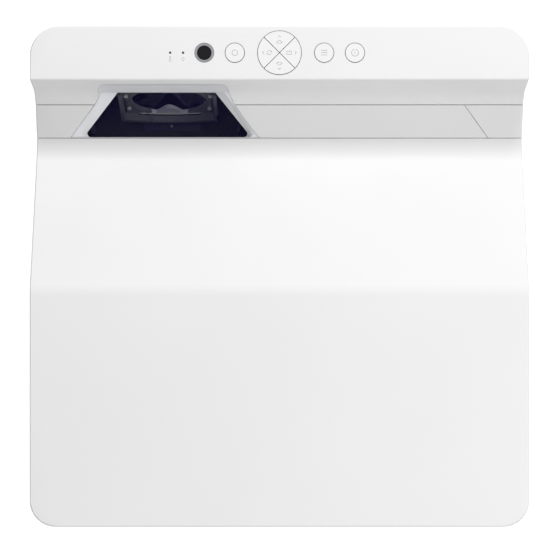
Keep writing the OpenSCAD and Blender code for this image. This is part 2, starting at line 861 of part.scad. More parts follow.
// --- Grilles --------------------------------------------------------------------------

// A louvred grille whose outer face is flush with the side wall, on side s
module side_grille(s) color(pale) scale([s, 1, 1]) {
    gl = grille_l - 0.6;
    gh = grille_h - 0.6;
    rim = 3;
    depth = 6;
    x1 = case_w / 2 - 0.4;
    pitch = (gh - 2 * rim) / louvres;
    difference() {
        along_x(x1 - depth, x1) translate([grille_y, grille_z]) square([gl, gh], center = true);
        along_x(x1 - depth - 1, x1 + 1) translate([grille_y, grille_z])
            square([gl - 2 * rim, gh - 2 * rim], center = true);
    }
    intersection() {
        translate([0, grille_y - gl / 2 + 1, 0]) union()
            for (i = [0:louvres])
                translate([x1 - depth / 2 - 0.2, 0, grille_z - gh / 2 + rim + i * pitch])
                    rotate([0, louvre_tilt, 0]) translate([-4.2, 0, -0.7]) cube([8.4, gl - 2, 1.4]);
        along_x(x1 - depth + 0.4, x1 - 0.4) translate([grille_y, grille_z])
            square([gl - 2, gh - 2 * rim + 0.2], center = true);
    }
    for (k = [-1:1])
        translate([x1 - depth, grille_y + k * (gl - 2 * rim) / 4 - 0.9, grille_z - gh / 2 + 1])
            cube([2.2, 1.8, gh - 2]);
}

module exhaust_grille() side_grille(-1);
module intake_grille() side_grille(1);

// --- Connectors -----------------------------------------------------------------------

panel_x = case_w / 2 - bay_depth - 4;
face_x = panel_x + 2.8;
low_row = 46;
high_row = 65;
video_ys = [71.5, 89.5];
usb_y = 107;
network_y = 54;
computer_y = 62;
jack_ys = [88, 103];
inlet_at = [25, 56];

// Cut-outs of the panel, each a little larger than the socket in it
module panel_cutouts() {
    for (y = video_ys)
        translate([y, low_row]) square([15.4, 6.4], center = true);
    translate([usb_y, low_row]) square([14.8, 7.4], center = true);
    translate([network_y, low_row + 2.5]) square([16.4, 13.9], center = true);
    translate([computer_y, high_row + 1]) square([17.4, 9.4], center = true);
    for (s = [-1, 1])
        translate([computer_y + s * 12.5, high_row + 1]) circle(2.55);
    for (y = jack_ys)
        translate([y, high_row + 1]) circle(3.6);
    translate(inlet_at) square([27.4, 20.4], center = true);
}

module io_panel() color("#c4c6c8") along_x(panel_x, panel_x + 1.8) difference() {
    translate(bay[0] - [3.5, 3]) square(bay[1] - bay[0] + [7, 6]);
    panel_cutouts();
}

module video_sockets() color(metal) for (y = video_ys)
    difference() {
        along_x(face_x - 13, face_x) translate([y, low_row]) square([15, 6], center = true);
        along_x(face_x - 11, face_x + 1) translate([y, low_row])
            polygon([[-7, 2.3], [-7, -0.9], [-5.6, -2.3], [5.6, -2.3], [7, -0.9], [7, 2.3]]);
    }

module usb_socket() color(metal) difference() {
    along_x(face_x - 14, face_x) translate([usb_y, low_row]) square([14.4, 7], center = true);
    along_x(face_x - 12.5, face_x + 1) translate([usb_y, low_row]) square([12.5, 5.2], center = true);
}

module network_socket() color(dark) difference() {
    along_x(face_x - 16, face_x) translate([network_y, low_row + 2.5]) square([16, 13.5], center = true);
    along_x(face_x - 13, face_x + 1) translate([network_y, low_row + 2.5]) {
        square([11.8, 8], center = true);
        translate([0, -4.6]) square([6, 2], center = true);
    }
}

// Fifteen-way socket: a D-shaped shell with its contacts' holes and two hexagonal posts
module computer_socket() color("#2f4c8c") {
    shell = [[-8.3, 4.2, 1.5], [-7.2, -4.2, 1.5], [7.2, -4.2, 1.5], [8.3, 4.2, 1.5]];
    difference() {
        along_x(face_x - 9, face_x + 3.5) translate([computer_y, high_row + 1]) polygon(rounded(shell));
        for (row = [-1:1])
            for (i = [-2:2])
                along_x(face_x - 2, face_x + 5)
                    translate([computer_y + i * 2.3 + row * 0.6, high_row + 1 + row * 2]) circle(0.5, $fn = 16);
    }
    for (s = [-1, 1])
        difference() {
            along_x(panel_x - 3, face_x + 2.5)
                translate([computer_y + s * 12.5, high_row + 1]) circle(2.5, $fn = 6);
            along_x(face_x - 2, face_x + 5) translate([computer_y + s * 12.5, high_row + 1]) circle(1.4);
        }
    along_x(panel_x - 8, panel_x - 0.2) translate([computer_y, high_row + 1]) square([30.6, 11], center = true);
}

module audio_jacks() color("#5aa05a") for (y = jack_ys)
    difference() {
        union() {
            along_x(face_x - 1, face_x + 1) translate([y, high_row + 1]) circle(3.5);
            along_x(panel_x - 12, panel_x - 0.2) translate([y, high_row + 1]) square([7, 7], center = true);
            along_x(panel_x - 1, face_x) translate([y, high_row + 1]) circle(3.5);
        }
        along_x(panel_x - 11, face_x + 5) translate([y, high_row + 1]) circle(1.8);
    }

module mains_inlet() color(dark) {
    difference() {
        along_x(face_x - 20, face_x + 1) translate(inlet_at) square([27, 20], center = true);
        along_x(face_x - 16, face_x + 2) translate(inlet_at)
            polygon(rounded([[-12, -8.2, 0.8], [12, -8.2, 0.8], [12, 4, 0.8], [8, 8.2, 0.8], [-8, 8.2, 0.8],
                [-12, 4, 0.8]]));
    }
    for (p = [[-7, -2], [7, -2], [0, 2]])
        along_x(face_x - 17, face_x - 1) translate(inlet_at + p) square([2, 4], center = true);
}

// --- Light engine ---------------------------------------------------------------------

lens_z = 60;
engine_low = [-140, -118, 22];
engine_high = [-32, -30, 104];
wheel_x = 22;
beam_y = -85;
laser_low = [55, -115, 25];
laser_high = [120, -55, 92];

module at_lens() translate([window_x, 0, lens_z]) rotate([-90, 0, 0]) children();

module lens_barrel() color("#3a3a40") at_lens() difference() {
    rotate_extrude() polygon([[0, -30], [40, -30], [40, -24], [32, -24], [32, 9], [28, 9], [28, 27], [31, 27],
        [31, 31], [27, 34], [27, 58], [24, 62], [24, 78], [20, 78], [20, 70], [0, 66]]);
    for (a = [45:90:315])
        rotate([0, 0, a]) translate([36, 0, -31]) cylinder(r = 1.7, h = 8);
}

module front_lens() color("#8090b0", 0.5) at_lens()
    rotate_extrude() polygon(concat([[0, 70.2], [19.8, 74.2]],
        [for (a = [0:6:90]) [19.8 * cos(a), 76 + 6 * sin(a)]]));

// Half the angle of a tooth at radius r, on a gear with n teeth
pressure_angle = 25;
backlash = 0.09;
function gear_r(n) = gear_m * n / 2;
function inv_at(n, r) =
    let (c = min(1, gear_r(n) * cos(pressure_angle) / r))
    tan(acos(c)) * 180 / PI - acos(c);
function half_tooth(n, r) =
    90 / n - backlash * 180 / PI / gear_r(n) + inv_at(n, gear_r(n)) - inv_at(n, r);

module gear_outline(n) {
    root = gear_r(n) - 1.25 * gear_m;
    radii = [root, max(root + 0.2, gear_r(n) * cos(pressure_angle)), gear_r(n), gear_r(n) + gear_m];
    polygon([for (i = [0:n - 1])
        for (s = [-1, 1])
            for (k = [0:3])
                let (r = radii[s < 0 ? k : 3 - k])
                let (a = 360 * i / n + s * half_tooth(n, r))
                r * [cos(a), sin(a)]]);
}

ring_y = [12, 24];
pinion_at = gear_r(ring_teeth) + gear_r(pinion_teeth);

module focus_ring() color("#24242a") at_lens() translate([0, 0, ring_y[0]]) difference() {
    linear_extrude(ring_y[1] - ring_y[0]) gear_outline(ring_teeth);
    translate([0, 0, -1]) cylinder(r = 28.06, h = 40);
}

module focus_motor() color(metal) at_lens() translate([pinion_at, 0, 0]) {
    translate([0, 0, -24]) cylinder(r = 10, h = 32);
    translate([0, 0, 8]) cylinder(r = 4, h = 2);
    translate([0, 0, 9]) cylinder(r = 1.5, h = 16);
}

module focus_pinion() color("#d8d0b0") at_lens() translate([pinion_at, 0, ring_y[0] - 1]) difference() {
    linear_extrude(14) rotate([0, 0, 180 / pinion_teeth]) gear_outline(pinion_teeth);
    translate([0, 0, -1]) cylinder(r = 1.55, h = 20);
}

module optical_engine() color("#7c8086") difference() {
    union() {
        block(engine_low, engine_high);
        block([engine_high[0] - 1, beam_y - 11, lens_z - 11], [wheel_x - 10, beam_y + 11, lens_z + 11]);
        for (i = [0:5])
            block([engine_low[0] + 8 + i * 18, engine_low[1] + 3, engine_high[2] - 1],
                [engine_low[0] + 10 + i * 18, engine_high[1] - 3, engine_high[2] + 5]);
    }
    along_y(engine_low[1] - 1, engine_low[1] + 20) translate([window_x, lens_z]) square([40, 30], center = true);
    translate([window_x, engine_high[1] - 20, lens_z]) rotate([-90, 0, 0]) cylinder(r = 22, h = 30);
    translate([wheel_x - 30, beam_y, lens_z]) rotate([0, 90, 0]) cylinder(r = 6, h = 40);
}

module imaging_board() color(board_green) {
    along_y(engine_low[1] - 2.6, engine_low[1] - 1) translate([window_x, lens_z]) square([92, 74], center = true);
    along_y(engine_low[1] - 1.2, engine_low[1] + 3) translate([window_x, lens_z]) square([34, 24], center = true);
}

module imaging_heatsink() color(metal) {
    y1 = engine_low[1] - 3.2;
    along_y(y1 - 4, y1) translate([window_x, lens_z]) square([76, 74], center = true);
    for (i = [0:10])
        along_y(-165, y1 - 3) translate([window_x - 38, lens_z - 36.5 + i * 7.2]) square([76, 1.2]);
}

module laser_module() color("#9a9ea4") {
    block(laser_low, laser_high);
    translate([laser_low[0] - 9, beam_y, lens_z]) rotate([0, 90, 0]) cylinder(r = 9, h = 12);
}

module laser_heatsink() color(metal) {
    y1 = laser_low[1] - 0.2;
    block([laser_low[0] - 5, y1 - 5, laser_low[2]], [laser_high[0] + 5, y1, laser_high[2]]);
    for (i = [0:11])
        block([laser_low[0] - 4, -170, laser_low[2] + 1 + i * 6],
            [laser_high[0] + 4, y1 - 4, laser_low[2] + 2.2 + i * 6]);
}

wheel_z = lens_z + 20;

module phosphor_wheel() color("#d8c860") translate([wheel_x, beam_y, wheel_z]) rotate([0, 90, 0]) difference() {
    union() {
        cylinder(r = 26, h = 1.2);
        cylinder(r = 10, h = 4);
    }
    translate([0, 0, -1]) cylinder(r = 2.05, h = 10);
}

module wheel_motor() color("#55585c") translate([wheel_x, beam_y, wheel_z]) rotate([0, 90, 0]) {
    translate([0, 0, -1]) cylinder(r = 2, h = 8);
    translate([0, 0, 5]) cylinder(r = 11, h = 12);
    translate([-12, -9, 16]) cube([24, 18, 5]);
    translate([11, -9, 16]) cube([wheel_z - floor_z - 11.2, 18, 5]);
}

// --- Fans ------------------------------------------------------------------------------

fan_size = 68;
fan_depth = 15;
fan_x = case_w / 2 - 7.5 - fan_depth;
// Side and Y position of each fan
fans = [[-1, grille_y - 37], [-1, grille_y + 37], [1, grille_y]];

module at_fan(i) translate([fans[i][0] * (fan_x + fan_depth / 2), fans[i][1], grille_z])
    rotate([0, fans[i][0] * 90, 0]) children();

module fan_frames() color(dark) for (i = [0:2])
    at_fan(i) {
        half = fan_depth / 2;
        translate([0, 0, -half]) linear_extrude(fan_depth) difference() {
            rounded_rect(fan_size, fan_size, 4);
            circle(31.5);
            for (x = [-1, 1])
                for (y = [-1, 1])
                    translate([x * 29.5, y * 29.5]) circle(2.1);
        }
        translate([0, 0, -half]) linear_extrude(2) {
            circle(13);
            for (a = [0:120:240])
                rotate([0, 0, a]) translate([10, -1.5]) square([23, 3]);
        }
        translate([0, 0, -half + 1]) cylinder(r = 1.5, h = 7);
    }

module rotor(i) color("#18181a") at_fan(i) {
    blades = 7;
    difference() {
        union() {
            translate([0, 0, -4.5]) cylinder(r = 12.5, h = 11.5);
            for (a = [0:360 / blades:359])
                rotate([0, 0, a]) translate([11.5, 0, 1.2]) rotate([38, 0, 0])
                    translate([0, -7, -0.6]) cube([18.6, 14, 1.2]);
        }
        translate([0, 0, -6]) cylinder(r = 1.55, h = 8.5);
    }
}

module rotor_1() rotor(0);
module rotor_2() rotor(1);
module rotor_3() rotor(2);

// --- Electronics -------------------------------------------------------------------------

main_board_z = 36;
supply_z = 24;

module main_board() color(board_green) {
    z1 = main_board_z + 1.6;
    difference() {
        block([102, -20, main_board_z], [178, 125, z1]);
        for (p = [[108, -14], [174, -14], [108, 119], [174, 119]])
            translate([p[0], p[1], 0]) rod(1.6, 0, big);
    }
    block([120, 20, z1], [155, 55, z1 + 2.4]);
    block([124, 24, z1 + 2.4], [151, 51, z1 + 10]);
    block([115, 75, z1], [129, 95, z1 + 1.6]);
    block([135, 75, z1], [149, 95, z1 + 1.6]);
    for (i = [0:4])
        translate([112 + i * 9, 110, 0]) rod(3, z1 - 0.5, z1 + 8);
}

module power_supply() color("#c8a860") {
    z1 = supply_z + 1.6;
    difference() {
        block([-20, -35, supply_z], [96, 95, z1]);
        for (p = [[-14, -29], [90, -29], [-14, 89], [90, 89]])
            translate([p[0], p[1], 0]) rod(1.6, 0, big);
    }
    block([20, 10, z1], [55, 42, z1 + 28]);
    block([-10, -10, z1], [-6, 60, z1 + 30]);
    block([70, -10, z1], [74, 60, z1 + 30]);
    translate([5, -15, 0]) rod(13, z1 - 0.5, z1 + 35);
    translate([35, -15, 0]) rod(13, z1 - 0.5, z1 + 35);
    for (i = [0:3])
        translate([15 + i * 13, 75, 0]) rod(5, z1 - 0.5, z1 + 20);
}

bottom_cover();
top_cover();
control_cover();
cheek_left();
cheek_right();
window_panel();
window_bezel();
window_glass();
exhaust_grille();
intake_grille();
io_panel();
video_sockets();
usb_socket();
network_socket();
computer_socket();
audio_jacks();
mains_inlet();
receiver_window();
light_pipes();
loudspeakers();
key_up();
key_down();
key_left();
key_right();
key_info();
key_menu();
key_power();
keypad_board();
key_switches();
mirror();
mirror_holder();
mirror_screws();
mirror_chamber();
lens_barrel();
front_lens();
focus_ring();
focus_motor();
focus_pinion();
optical_engine();
imaging_board();
imaging_heatsink();
laser_module();
laser_heatsink();
phosphor_wheel();
wheel_motor();
fan_frames();
rotor_1();
rotor_2();
rotor_3();
power_supply();
main_board();
case_screws();
foot_pad_1();
foot_pad_2();
foot_pad_3();
foot_pad_4();
foot_screw_1();
foot_screw_2();
foot_screw_3();
foot_screw_4();
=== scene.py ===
"""Looks of an ultra-short-throw projector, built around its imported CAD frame.

The CAD nodes get their materials and their smooth shading here. The script adds the printed
marks, the insides of the connectors and small parts in the mirror's chamber, and then the
stage, the lamps and the camera. The object's own places and sizes are written in millimetres,
and the stage, the lamps and the camera in metres.
"""
import json
from math import cos, radians, sin

import bmesh
import bpy
import numpy as np
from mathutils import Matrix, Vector

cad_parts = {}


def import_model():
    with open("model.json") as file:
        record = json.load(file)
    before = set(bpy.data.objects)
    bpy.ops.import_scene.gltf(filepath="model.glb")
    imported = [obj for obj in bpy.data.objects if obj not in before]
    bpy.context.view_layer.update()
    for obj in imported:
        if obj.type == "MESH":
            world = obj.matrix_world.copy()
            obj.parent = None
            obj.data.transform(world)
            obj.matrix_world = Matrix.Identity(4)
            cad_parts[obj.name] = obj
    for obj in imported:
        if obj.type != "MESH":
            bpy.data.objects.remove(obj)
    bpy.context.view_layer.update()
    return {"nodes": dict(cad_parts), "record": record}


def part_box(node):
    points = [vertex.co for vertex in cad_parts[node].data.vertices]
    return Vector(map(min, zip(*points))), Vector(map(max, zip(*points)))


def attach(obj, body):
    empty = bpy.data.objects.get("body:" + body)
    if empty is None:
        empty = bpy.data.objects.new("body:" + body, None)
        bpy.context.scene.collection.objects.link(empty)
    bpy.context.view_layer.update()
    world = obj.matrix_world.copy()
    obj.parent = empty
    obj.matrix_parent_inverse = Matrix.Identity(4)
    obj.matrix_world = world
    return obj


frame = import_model()
NODES = frame["nodes"]
SLOT_OF = {s["node"]: s["material_slot"] for s in frame["record"]["subparts"]}
MM = 0.001
MICRONS_PER_METRE = 1e6


# --- Places and sizes in millimetres, as in the part's source -------------------------------

DECK = 130.0
WINDOW_X = -89.0
CHAMBER_FLOOR = 33.0
BOARD_T = 1.6

# Row of keys
KEY_Y = 171.8
KEY_TOP = 130.4
KEY_R, PAD_R = 7.4, 16.8
KEY_X = {"key_info": -34.3, "key_menu": 34.3, "key_power": 58.0}
PIPE_X = (-84.0, -74.1)
RECEIVER_X = -57.8

# Connectors, on the face of the panel. The upper row is the middle of its sockets, which lies
# 1 mm above the source's value of that name.
FACE_X = round(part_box("video_sockets")[1][0] * 1000, 3)
LOW_ROW, HIGH_ROW = 46.0, 66.0
VIDEO_YS = (71.5, 89.5)
USB_Y, NETWORK_Y, COMPUTER_Y = 107.0, 54.0, 62.0
JACK_YS = (88.0, 103.0)
INLET_AT = (25.0, 56.0)
POST_OFFSET = 12.5

# The mirror's holder, which leans back, and the curved ledge on its face
HOLDER_AT = (WINDOW_X, 146.7, 76.0)
HOLDER_TILT = radians(90 - 25)
LEDGE_ARC_R, LEDGE_LOW = 196.0, 28.8

# Corners of a square, in their order round it
SQUARE = ((-1, -1), (1, -1), (1, 1), (-1, 1))

# Angles in degrees up to which an edge between faces is shaded as round
CAD_EDGE, COVER_EDGE = 30, 50
MESH_EDGE, RIM_EDGE, ROUND_EDGE = 40, 50, 60


# --- Colours --------------------------------------------------------------------------------

def rgb(text):
    """A linear colour from a #rrggbb text."""
    values = [int(text[i:i + 2], 16) / 255 for i in (1, 3, 5)]
    linear = [v / 12.92 if v <= 0.04045 else ((v + 0.055) / 1.055) ** 2.4 for v in values]
    return tuple(linear) + (1.0,)


def shade(colour, k):
    """The colour, darker or lighter by a factor."""
    return tuple(min(1.0, c * k) for c in colour[:3]) + (1.0,)


def grey(value):
    """A linear grey."""
    return (value, value, value, 1.0)


BLACK_PLASTIC = rgb("#232326")
BOARD_GREEN, BOARD_TAN = rgb("#1f5a38"), rgb("#9c7f45")
SOCKET_BLUE = rgb("#2b4d9b")
STEEL, PIN_METAL = rgb("#c9c9c6"), rgb("#bdb9ae")
# Painted shade on the round edges of the keys
KEY_EDGE_SHADE_GREY = rgb("#8c8c90")
LENS_BLACK, LENS_RIM = rgb("#19191c"), rgb("#a2a2a6")
MIRROR_DARK, MIRROR_PALE = rgb("#4c5068"), rgb("#5a5e76")

# Parts on the boards
CHIP, CAN_TOP, CAN_SLEEVE = rgb("#1c1c20"), rgb("#c6c8ca"), rgb("#2c3558")
CHIP_SINK, PLATE_SINK = rgb("#b9bcc0"), rgb("#b4b7bb")
COIL_TAPE, LARGE_SLEEVE = rgb("#a9822f"), rgb("#232327")


# --- Node trees -----------------------------------------------------------------------------

class Nodes:
    """A short way to write a node tree."""

    def __init__(self, tree):
        self.tree = tree

    def feed(self, socket, value):
        """Links another node's output to a socket, or sets the socket's own value."""
        if isinstance(value, bpy.types.NodeSocket):
            self.tree.links.new(value, socket)
        else:
            socket.default_value = value

    def add(self, kind, inputs=None, **settings):
        """A new node with its settings and inputs."""
        node = self.tree.nodes.new("ShaderNode" + kind)
        for key, value in settings.items():
            setattr(node, key, value)
        for key, value in (inputs or {}).items():
            self.feed(node.inputs[key], value)
        return node

    def math(self, operation, *values):
        """The result of one operation on outputs or numbers."""
        return self.add("Math", dict(enumerate(values)), operation=operation).outputs[0]

    def merge(self, operation, masks):
        """One mask from several: MULTIPLY where all of them hold, MAXIMUM where any does."""
        out = masks[0]
        for mask in masks[1:]:
            out = self.math(operation, out, mask)
        return out

    def seen(self):
        """1 for the rays that see the plain white background, else 0."""
        rays = self.add("LightPath").outputs
        kinds = ("Is Camera Ray", "Is Glossy Ray", "Is Transmission Ray")
        return self.merge("MAXIMUM", [rays[kind] for kind in kinds])


class Material(Nodes):
    """A material whose patterns are read in object coordinates."""

    def __init__(self, name):
        self.mat = bpy.data.materials.new(name)
        self.mat.use_nodes = True
        super().__init__(self.mat.node_tree)
        self.shader = self.tree.nodes["Principled BSDF"]
        self.coords = self.add("TexCoord").outputs["Object"]

    def set(self, name, value):
        """Sets or links one of the shader's inputs."""
        self.feed(self.shader.inputs[name], value)

    def xyz(self):
        """The object coordinates, as one output for each axis."""
        return self.add("SeparateXYZ", {"Vector": self.coords}).outputs

    def noise(self, scale, detail=3.0, rough=0.5, vector=None):
        """Fractal noise, with its scale in cycles per metre."""
        return self.add("TexNoise", {"Vector": vector or self.coords, "Scale": scale,
                                     "Detail": detail, "Roughness": rough}).outputs["Fac"]

    def spread(self, value, low=0.0, high=1.0, start=0.3, end=0.7):
        """Runs from low at start to high at end, and stays at these beyond them."""
        return self.add("MapRange", {"Value": value, "From Min": start, "From Max": end,
                                     "To Min": low, "To Max": high}).outputs["Result"]

    def mix(self, fac, a, b):
        """A colour from a, where fac is 0, to b, where it is 1."""
        node = self.add("Mix", data_type="RGBA")
        for key, value in (("Factor", fac), ("A", a), ("B", b)):
            self.feed([s for s in node.inputs if s.name == key and s.enabled][0], value)
        return [s for s in node.outputs if s.enabled][0]

    def mottle(self, colour, low, high, scale, detail=3.0):
        """A colour that drifts between two shades of itself."""
        patches = self.spread(self.noise(scale, detail))
        return self.mix(patches, shade(colour, low), shade(colour, high))

    def bump(self, height, strength, distance):
        """Relief of the surface, whose greatest height is in millimetres."""
        inputs = {"Height": height, "Strength": strength, "Distance": distance * MM}
        self.set("Normal", self.add("Bump", inputs).outputs["Normal"])

    def tracks(self):
        """Lines of copper on a board."""
        return self.add("TexBrick", {"Vector": self.coords, "Scale": 140.0, "Mortar Size": 0.03,
                                     "Brick Width": 0.9, "Row Height": 0.22}).outputs["Fac"]

    def within(self, low, high):
        """1 inside a box whose corners are in millimetres, else 0."""
        axes = self.xyz()
        tests = [self.math(test, axes[axis], side[k] * MM) for k, axis in enumerate("XYZ")
                 for side, test in ((low, "GREATER_THAN"), (high, "LESS_THAN"))]
        return self.merge("MULTIPLY", tests)

    def away_from(self, x, y):
        """Distance in metres, seen from above, from a place in millimetres."""
        axes = self.xyz()
        offset = {"X": self.math("SUBTRACT", axes["X"], x * MM),
                  "Y": self.math("SUBTRACT", axes["Y"], y * MM)}
        both = self.add("CombineXYZ", offset).outputs["Vector"]
        return self.add("VectorMath", {0: both}, operation="LENGTH").outputs["Value"]


# --- Kinds of material ----------------------------------------------------------------------

# Scales of the noise that roughens a surface, and the direction of brush lines
FINE_GRAIN, COARSE_GRAIN, RUBBER_GRAIN = 2600.0, 1400.0, 900.0
ALONG_X, ALONG_Y = 0, 1
# Half the width of the ring of painted shade on a key's edge
KEY_EDGE_SHADE_HALF = 0.2
# The receiver's lens, and half the width over which it turns into its rim
LENS_R, LENS_BLEND_HALF = 5.65, 0.03
# Heights of relief
GRAIN_HEIGHT, SKIN_HEIGHT, BRUSH_HEIGHT, TRACK_HEIGHT, INK_HEIGHT = 0.12, 0.1, 0.2, 0.06, 0.05
# The relief of the tracks fades out between these heights over a board's top side
TRACKS_FADE = (0.05, 0.1)
# The pale colour on the tab of the mirror's holder is a painted reflection of the lens
# The pale tab of the mirror's holder is a bell curve, blended between these distances below it
TAB_HALF_WIDTH, TAB_HEIGHT, TAB_FOOT_Z = 12.5, 11.2, 51.2
TAB_BLEND = (-0.4, 0.6)
# The painted reflection begins between these, behind the ledge
TAB_FRONT_Y = (131.8, 132.2)


def key_edge_shade(n):
    """1 on a narrow ring of painted shade round each round key's edge and the pad's, else 0."""
    rings = [(x, KEY_R) for x in KEY_X.values()] + [(0.0, PAD_R)]
    return n.merge("MAXIMUM", [n.math("COMPARE", n.away_from(x, KEY_Y), r * MM, KEY_EDGE_SHADE_HALF * MM)
                               for x, r in rings])


def plastic(name, colour, rough=0.45, grain=FINE_GRAIN, depth=0.03, drift=0.02, shine=0.5,
            shaded_key_edges=False):
    """Moulded plastic: fine spark-eroded grain, a slow drift of tone and uneven gloss."""
    n = Material(name)
    tone = n.mottle(colour, 1 - drift, 1 + drift * 0.4, scale=9.0, detail=2.0)
    # Keys get a grey ring of painted shade along their round edges
    if shaded_key_edges:
        tone = n.mix(key_edge_shade(n), tone, KEY_EDGE_SHADE_GREY)
    n.set("Base Color", tone)
    n.set("Roughness", n.spread(n.noise(scale=60.0, detail=4.0), rough - 0.04, rough + 0.05))
    n.set("Specular IOR Level", shine)
    n.bump(n.noise(grain, detail=2.0, rough=0.6), depth, GRAIN_HEIGHT)
    return n.mat


def metal(name, colour, rough=0.35, brushed=None, depth=0.05, drift=0.06):
    """Bare metal with brush lines along one axis, or with a cast skin."""
    n = Material(name)
    n.set("Metallic", 1.0)
    if brushed is None:
        lines = n.noise(scale=700.0, detail=5.0, rough=0.65)
    else:
        scale = [900.0, 900.0, 900.0]
        scale[brushed] = 12.0
        drawn = n.add("Mapping", {"Vector": n.coords, "Scale": scale}).outputs["Vector"]
        lines = n.noise(scale=1.0, detail=4.0, rough=0.6, vector=drawn)
    n.set("Base Color", n.mottle(colour, 1 - drift, 1 + drift, scale=25.0, detail=4.0))
    n.set("Roughness", n.spread(lines, rough - 0.08, rough + 0.1))
    n.bump(lines, depth, BRUSH_HEIGHT)
    return n.mat


def board(name, colour):
    """Solder mask over copper tracks."""
    n = Material(name)
    tracks = n.tracks()
    n.set("Base Color", n.mix(tracks, shade(colour, 0.8), shade(colour, 1.5)))
    n.set("Roughness", 0.35)
    n.bump(tracks, 0.3, TRACK_HEIGHT)
    return n.mat


def populated(name, colour, top, parts):
    """A board with coloured parts. Each has its box, its colour, and whether it is metal."""
    n = Material(name)
    tracks = n.tracks()
    tone = n.mix(tracks, shade(colour, 0.8), shade(colour, 1.5))
    bare = []
    for low, high, paint, is_metal in parts:
        test = n.within((low[0], low[1], top + low[2]), (high[0], high[1], top + high[2]))
        tone = n.mix(test, tone, n.mottle(paint, 0.9, 1.1, scale=120.0))
        if is_metal:
            bare.append(test)
    n.set("Base Color", tone)
    n.set("Metallic", n.merge("MAXIMUM", bare))
    n.set("Roughness", n.spread(n.noise(scale=90.0), 0.3, 0.42))
    # The tracks stand out of the board itself, and not out of the parts above it
    start, end = [(top + height) * MM for height in TRACKS_FADE]
    on_board = n.spread(n.xyz()["Z"], 1.0, 0.0, start, end)
    n.bump(n.math("MULTIPLY", tracks, on_board), 0.3, TRACK_HEIGHT)
    return n.mat


def tinted_glass(name, colour, alpha, ior):
    """Coated glass, whose surface is drawn blended."""
    n = Material(name)
    n.set("Base Color", n.mottle(colour, 0.9, 1.1, scale=30.0, detail=2.0))
    n.set("Roughness", n.spread(n.noise(scale=12.0), 0.02, 0.04))
    n.set("Alpha", alpha)
    n.set("IOR", ior)
    n.mat.surface_render_method = "BLENDED"
    return n.mat


def mirror_coat(name):
    """Silvering that reflects the dark chamber."""
    n = Material(name)
    n.set("Metallic", 1.0)
    patches = n.spread(n.noise(scale=14.0, detail=2.0))
    n.set("Base Color", n.mix(patches, MIRROR_DARK, MIRROR_PALE))
    n.set("Roughness", n.spread(n.noise(scale=40.0), 0.02, 0.05))
    return n.mat


def receiver(name):
    """Gloss black lens inside a grey rim."""
    n = Material(name)
    start, end = [(LENS_R + s * LENS_BLEND_HALF) * MM for s in (-1, 1)]
    rim = n.spread(n.away_from(RECEIVER_X, KEY_Y), start=start, end=end)
    n.set("Base Color", n.mix(rim, LENS_BLACK, LENS_RIM))
    n.set("Roughness", n.spread(rim, 0.16, 0.42, start=0.0, end=1.0))
    n.set("Specular IOR Level", 0.12)
    n.bump(n.noise(scale=1500.0, detail=2.0), 0.04, SKIN_HEIGHT)
    return n.mat


def two_part(name, colour, rough, boxes, steel):
    """Moulded plastic with bare metal in the boxes, such as pins and posts."""
    n = Material(name)
    mask = n.merge("MAXIMUM", [n.within(low, high) for low, high in boxes])
    n.set("Base Color", n.mix(mask, n.mottle(colour, 0.94, 1.05, scale=60.0), steel))
    n.set("Metallic", mask)
    n.set("Roughness", n.spread(mask, rough, 0.26, start=0.0, end=1.0))
    n.bump(n.noise(COARSE_GRAIN, detail=2.0), 0.06, SKIN_HEIGHT)
    return n.mat


def holder_with_painted_reflection(name, colour, pale):
    """Grey moulding whose bell-shaped tab under the mirror's oval has a pale painted reflection."""
    n = Material(name)
    axes = n.xyz()
    across = n.math("DIVIDE", n.math("SUBTRACT", axes["X"], WINDOW_X * MM), TAB_HALF_WIDTH * MM)
    square = n.math("MULTIPLY", across, across)
    bell = n.math("EXPONENT", n.math("MULTIPLY", square, -1.0))
    edge = n.math("MULTIPLY_ADD", bell, TAB_HEIGHT * MM, TAB_FOOT_Z * MM)
    start, end = [distance * MM for distance in TAB_BLEND]
    under_edge = n.spread(n.math("SUBTRACT", edge, axes["Z"]), start=start, end=end)
    start, end = [y * MM for y in TAB_FRONT_Y]
    behind_ledge = n.spread(axes["Y"], start=start, end=end)
    mask = n.math("MULTIPLY", under_edge, behind_ledge)
    # The pale colour is a painted reflection of the lens
    n.set("Base Color", n.mix(mask, n.mottle(colour, 0.92, 1.06, scale=40.0), pale))
    n.set("Roughness", n.spread(n.noise(scale=90.0, detail=4.0), 0.26, 0.36))
    n.bump(n.noise(COARSE_GRAIN, detail=2.0), 0.08, SKIN_HEIGHT)
    return n.mat


def ink(name, colour):
    """Printed ink."""
    n = Material(name)
    n.set("Base Color", n.mottle(colour, 0.92, 1.06, scale=900.0, detail=2.0))
    n.set("Roughness", 0.5)
    n.bump(n.noise(scale=3000.0, detail=2.0), 0.05, INK_HEIGHT)
    return n.mat


# --- The part's materials -------------------------------------------------------------------

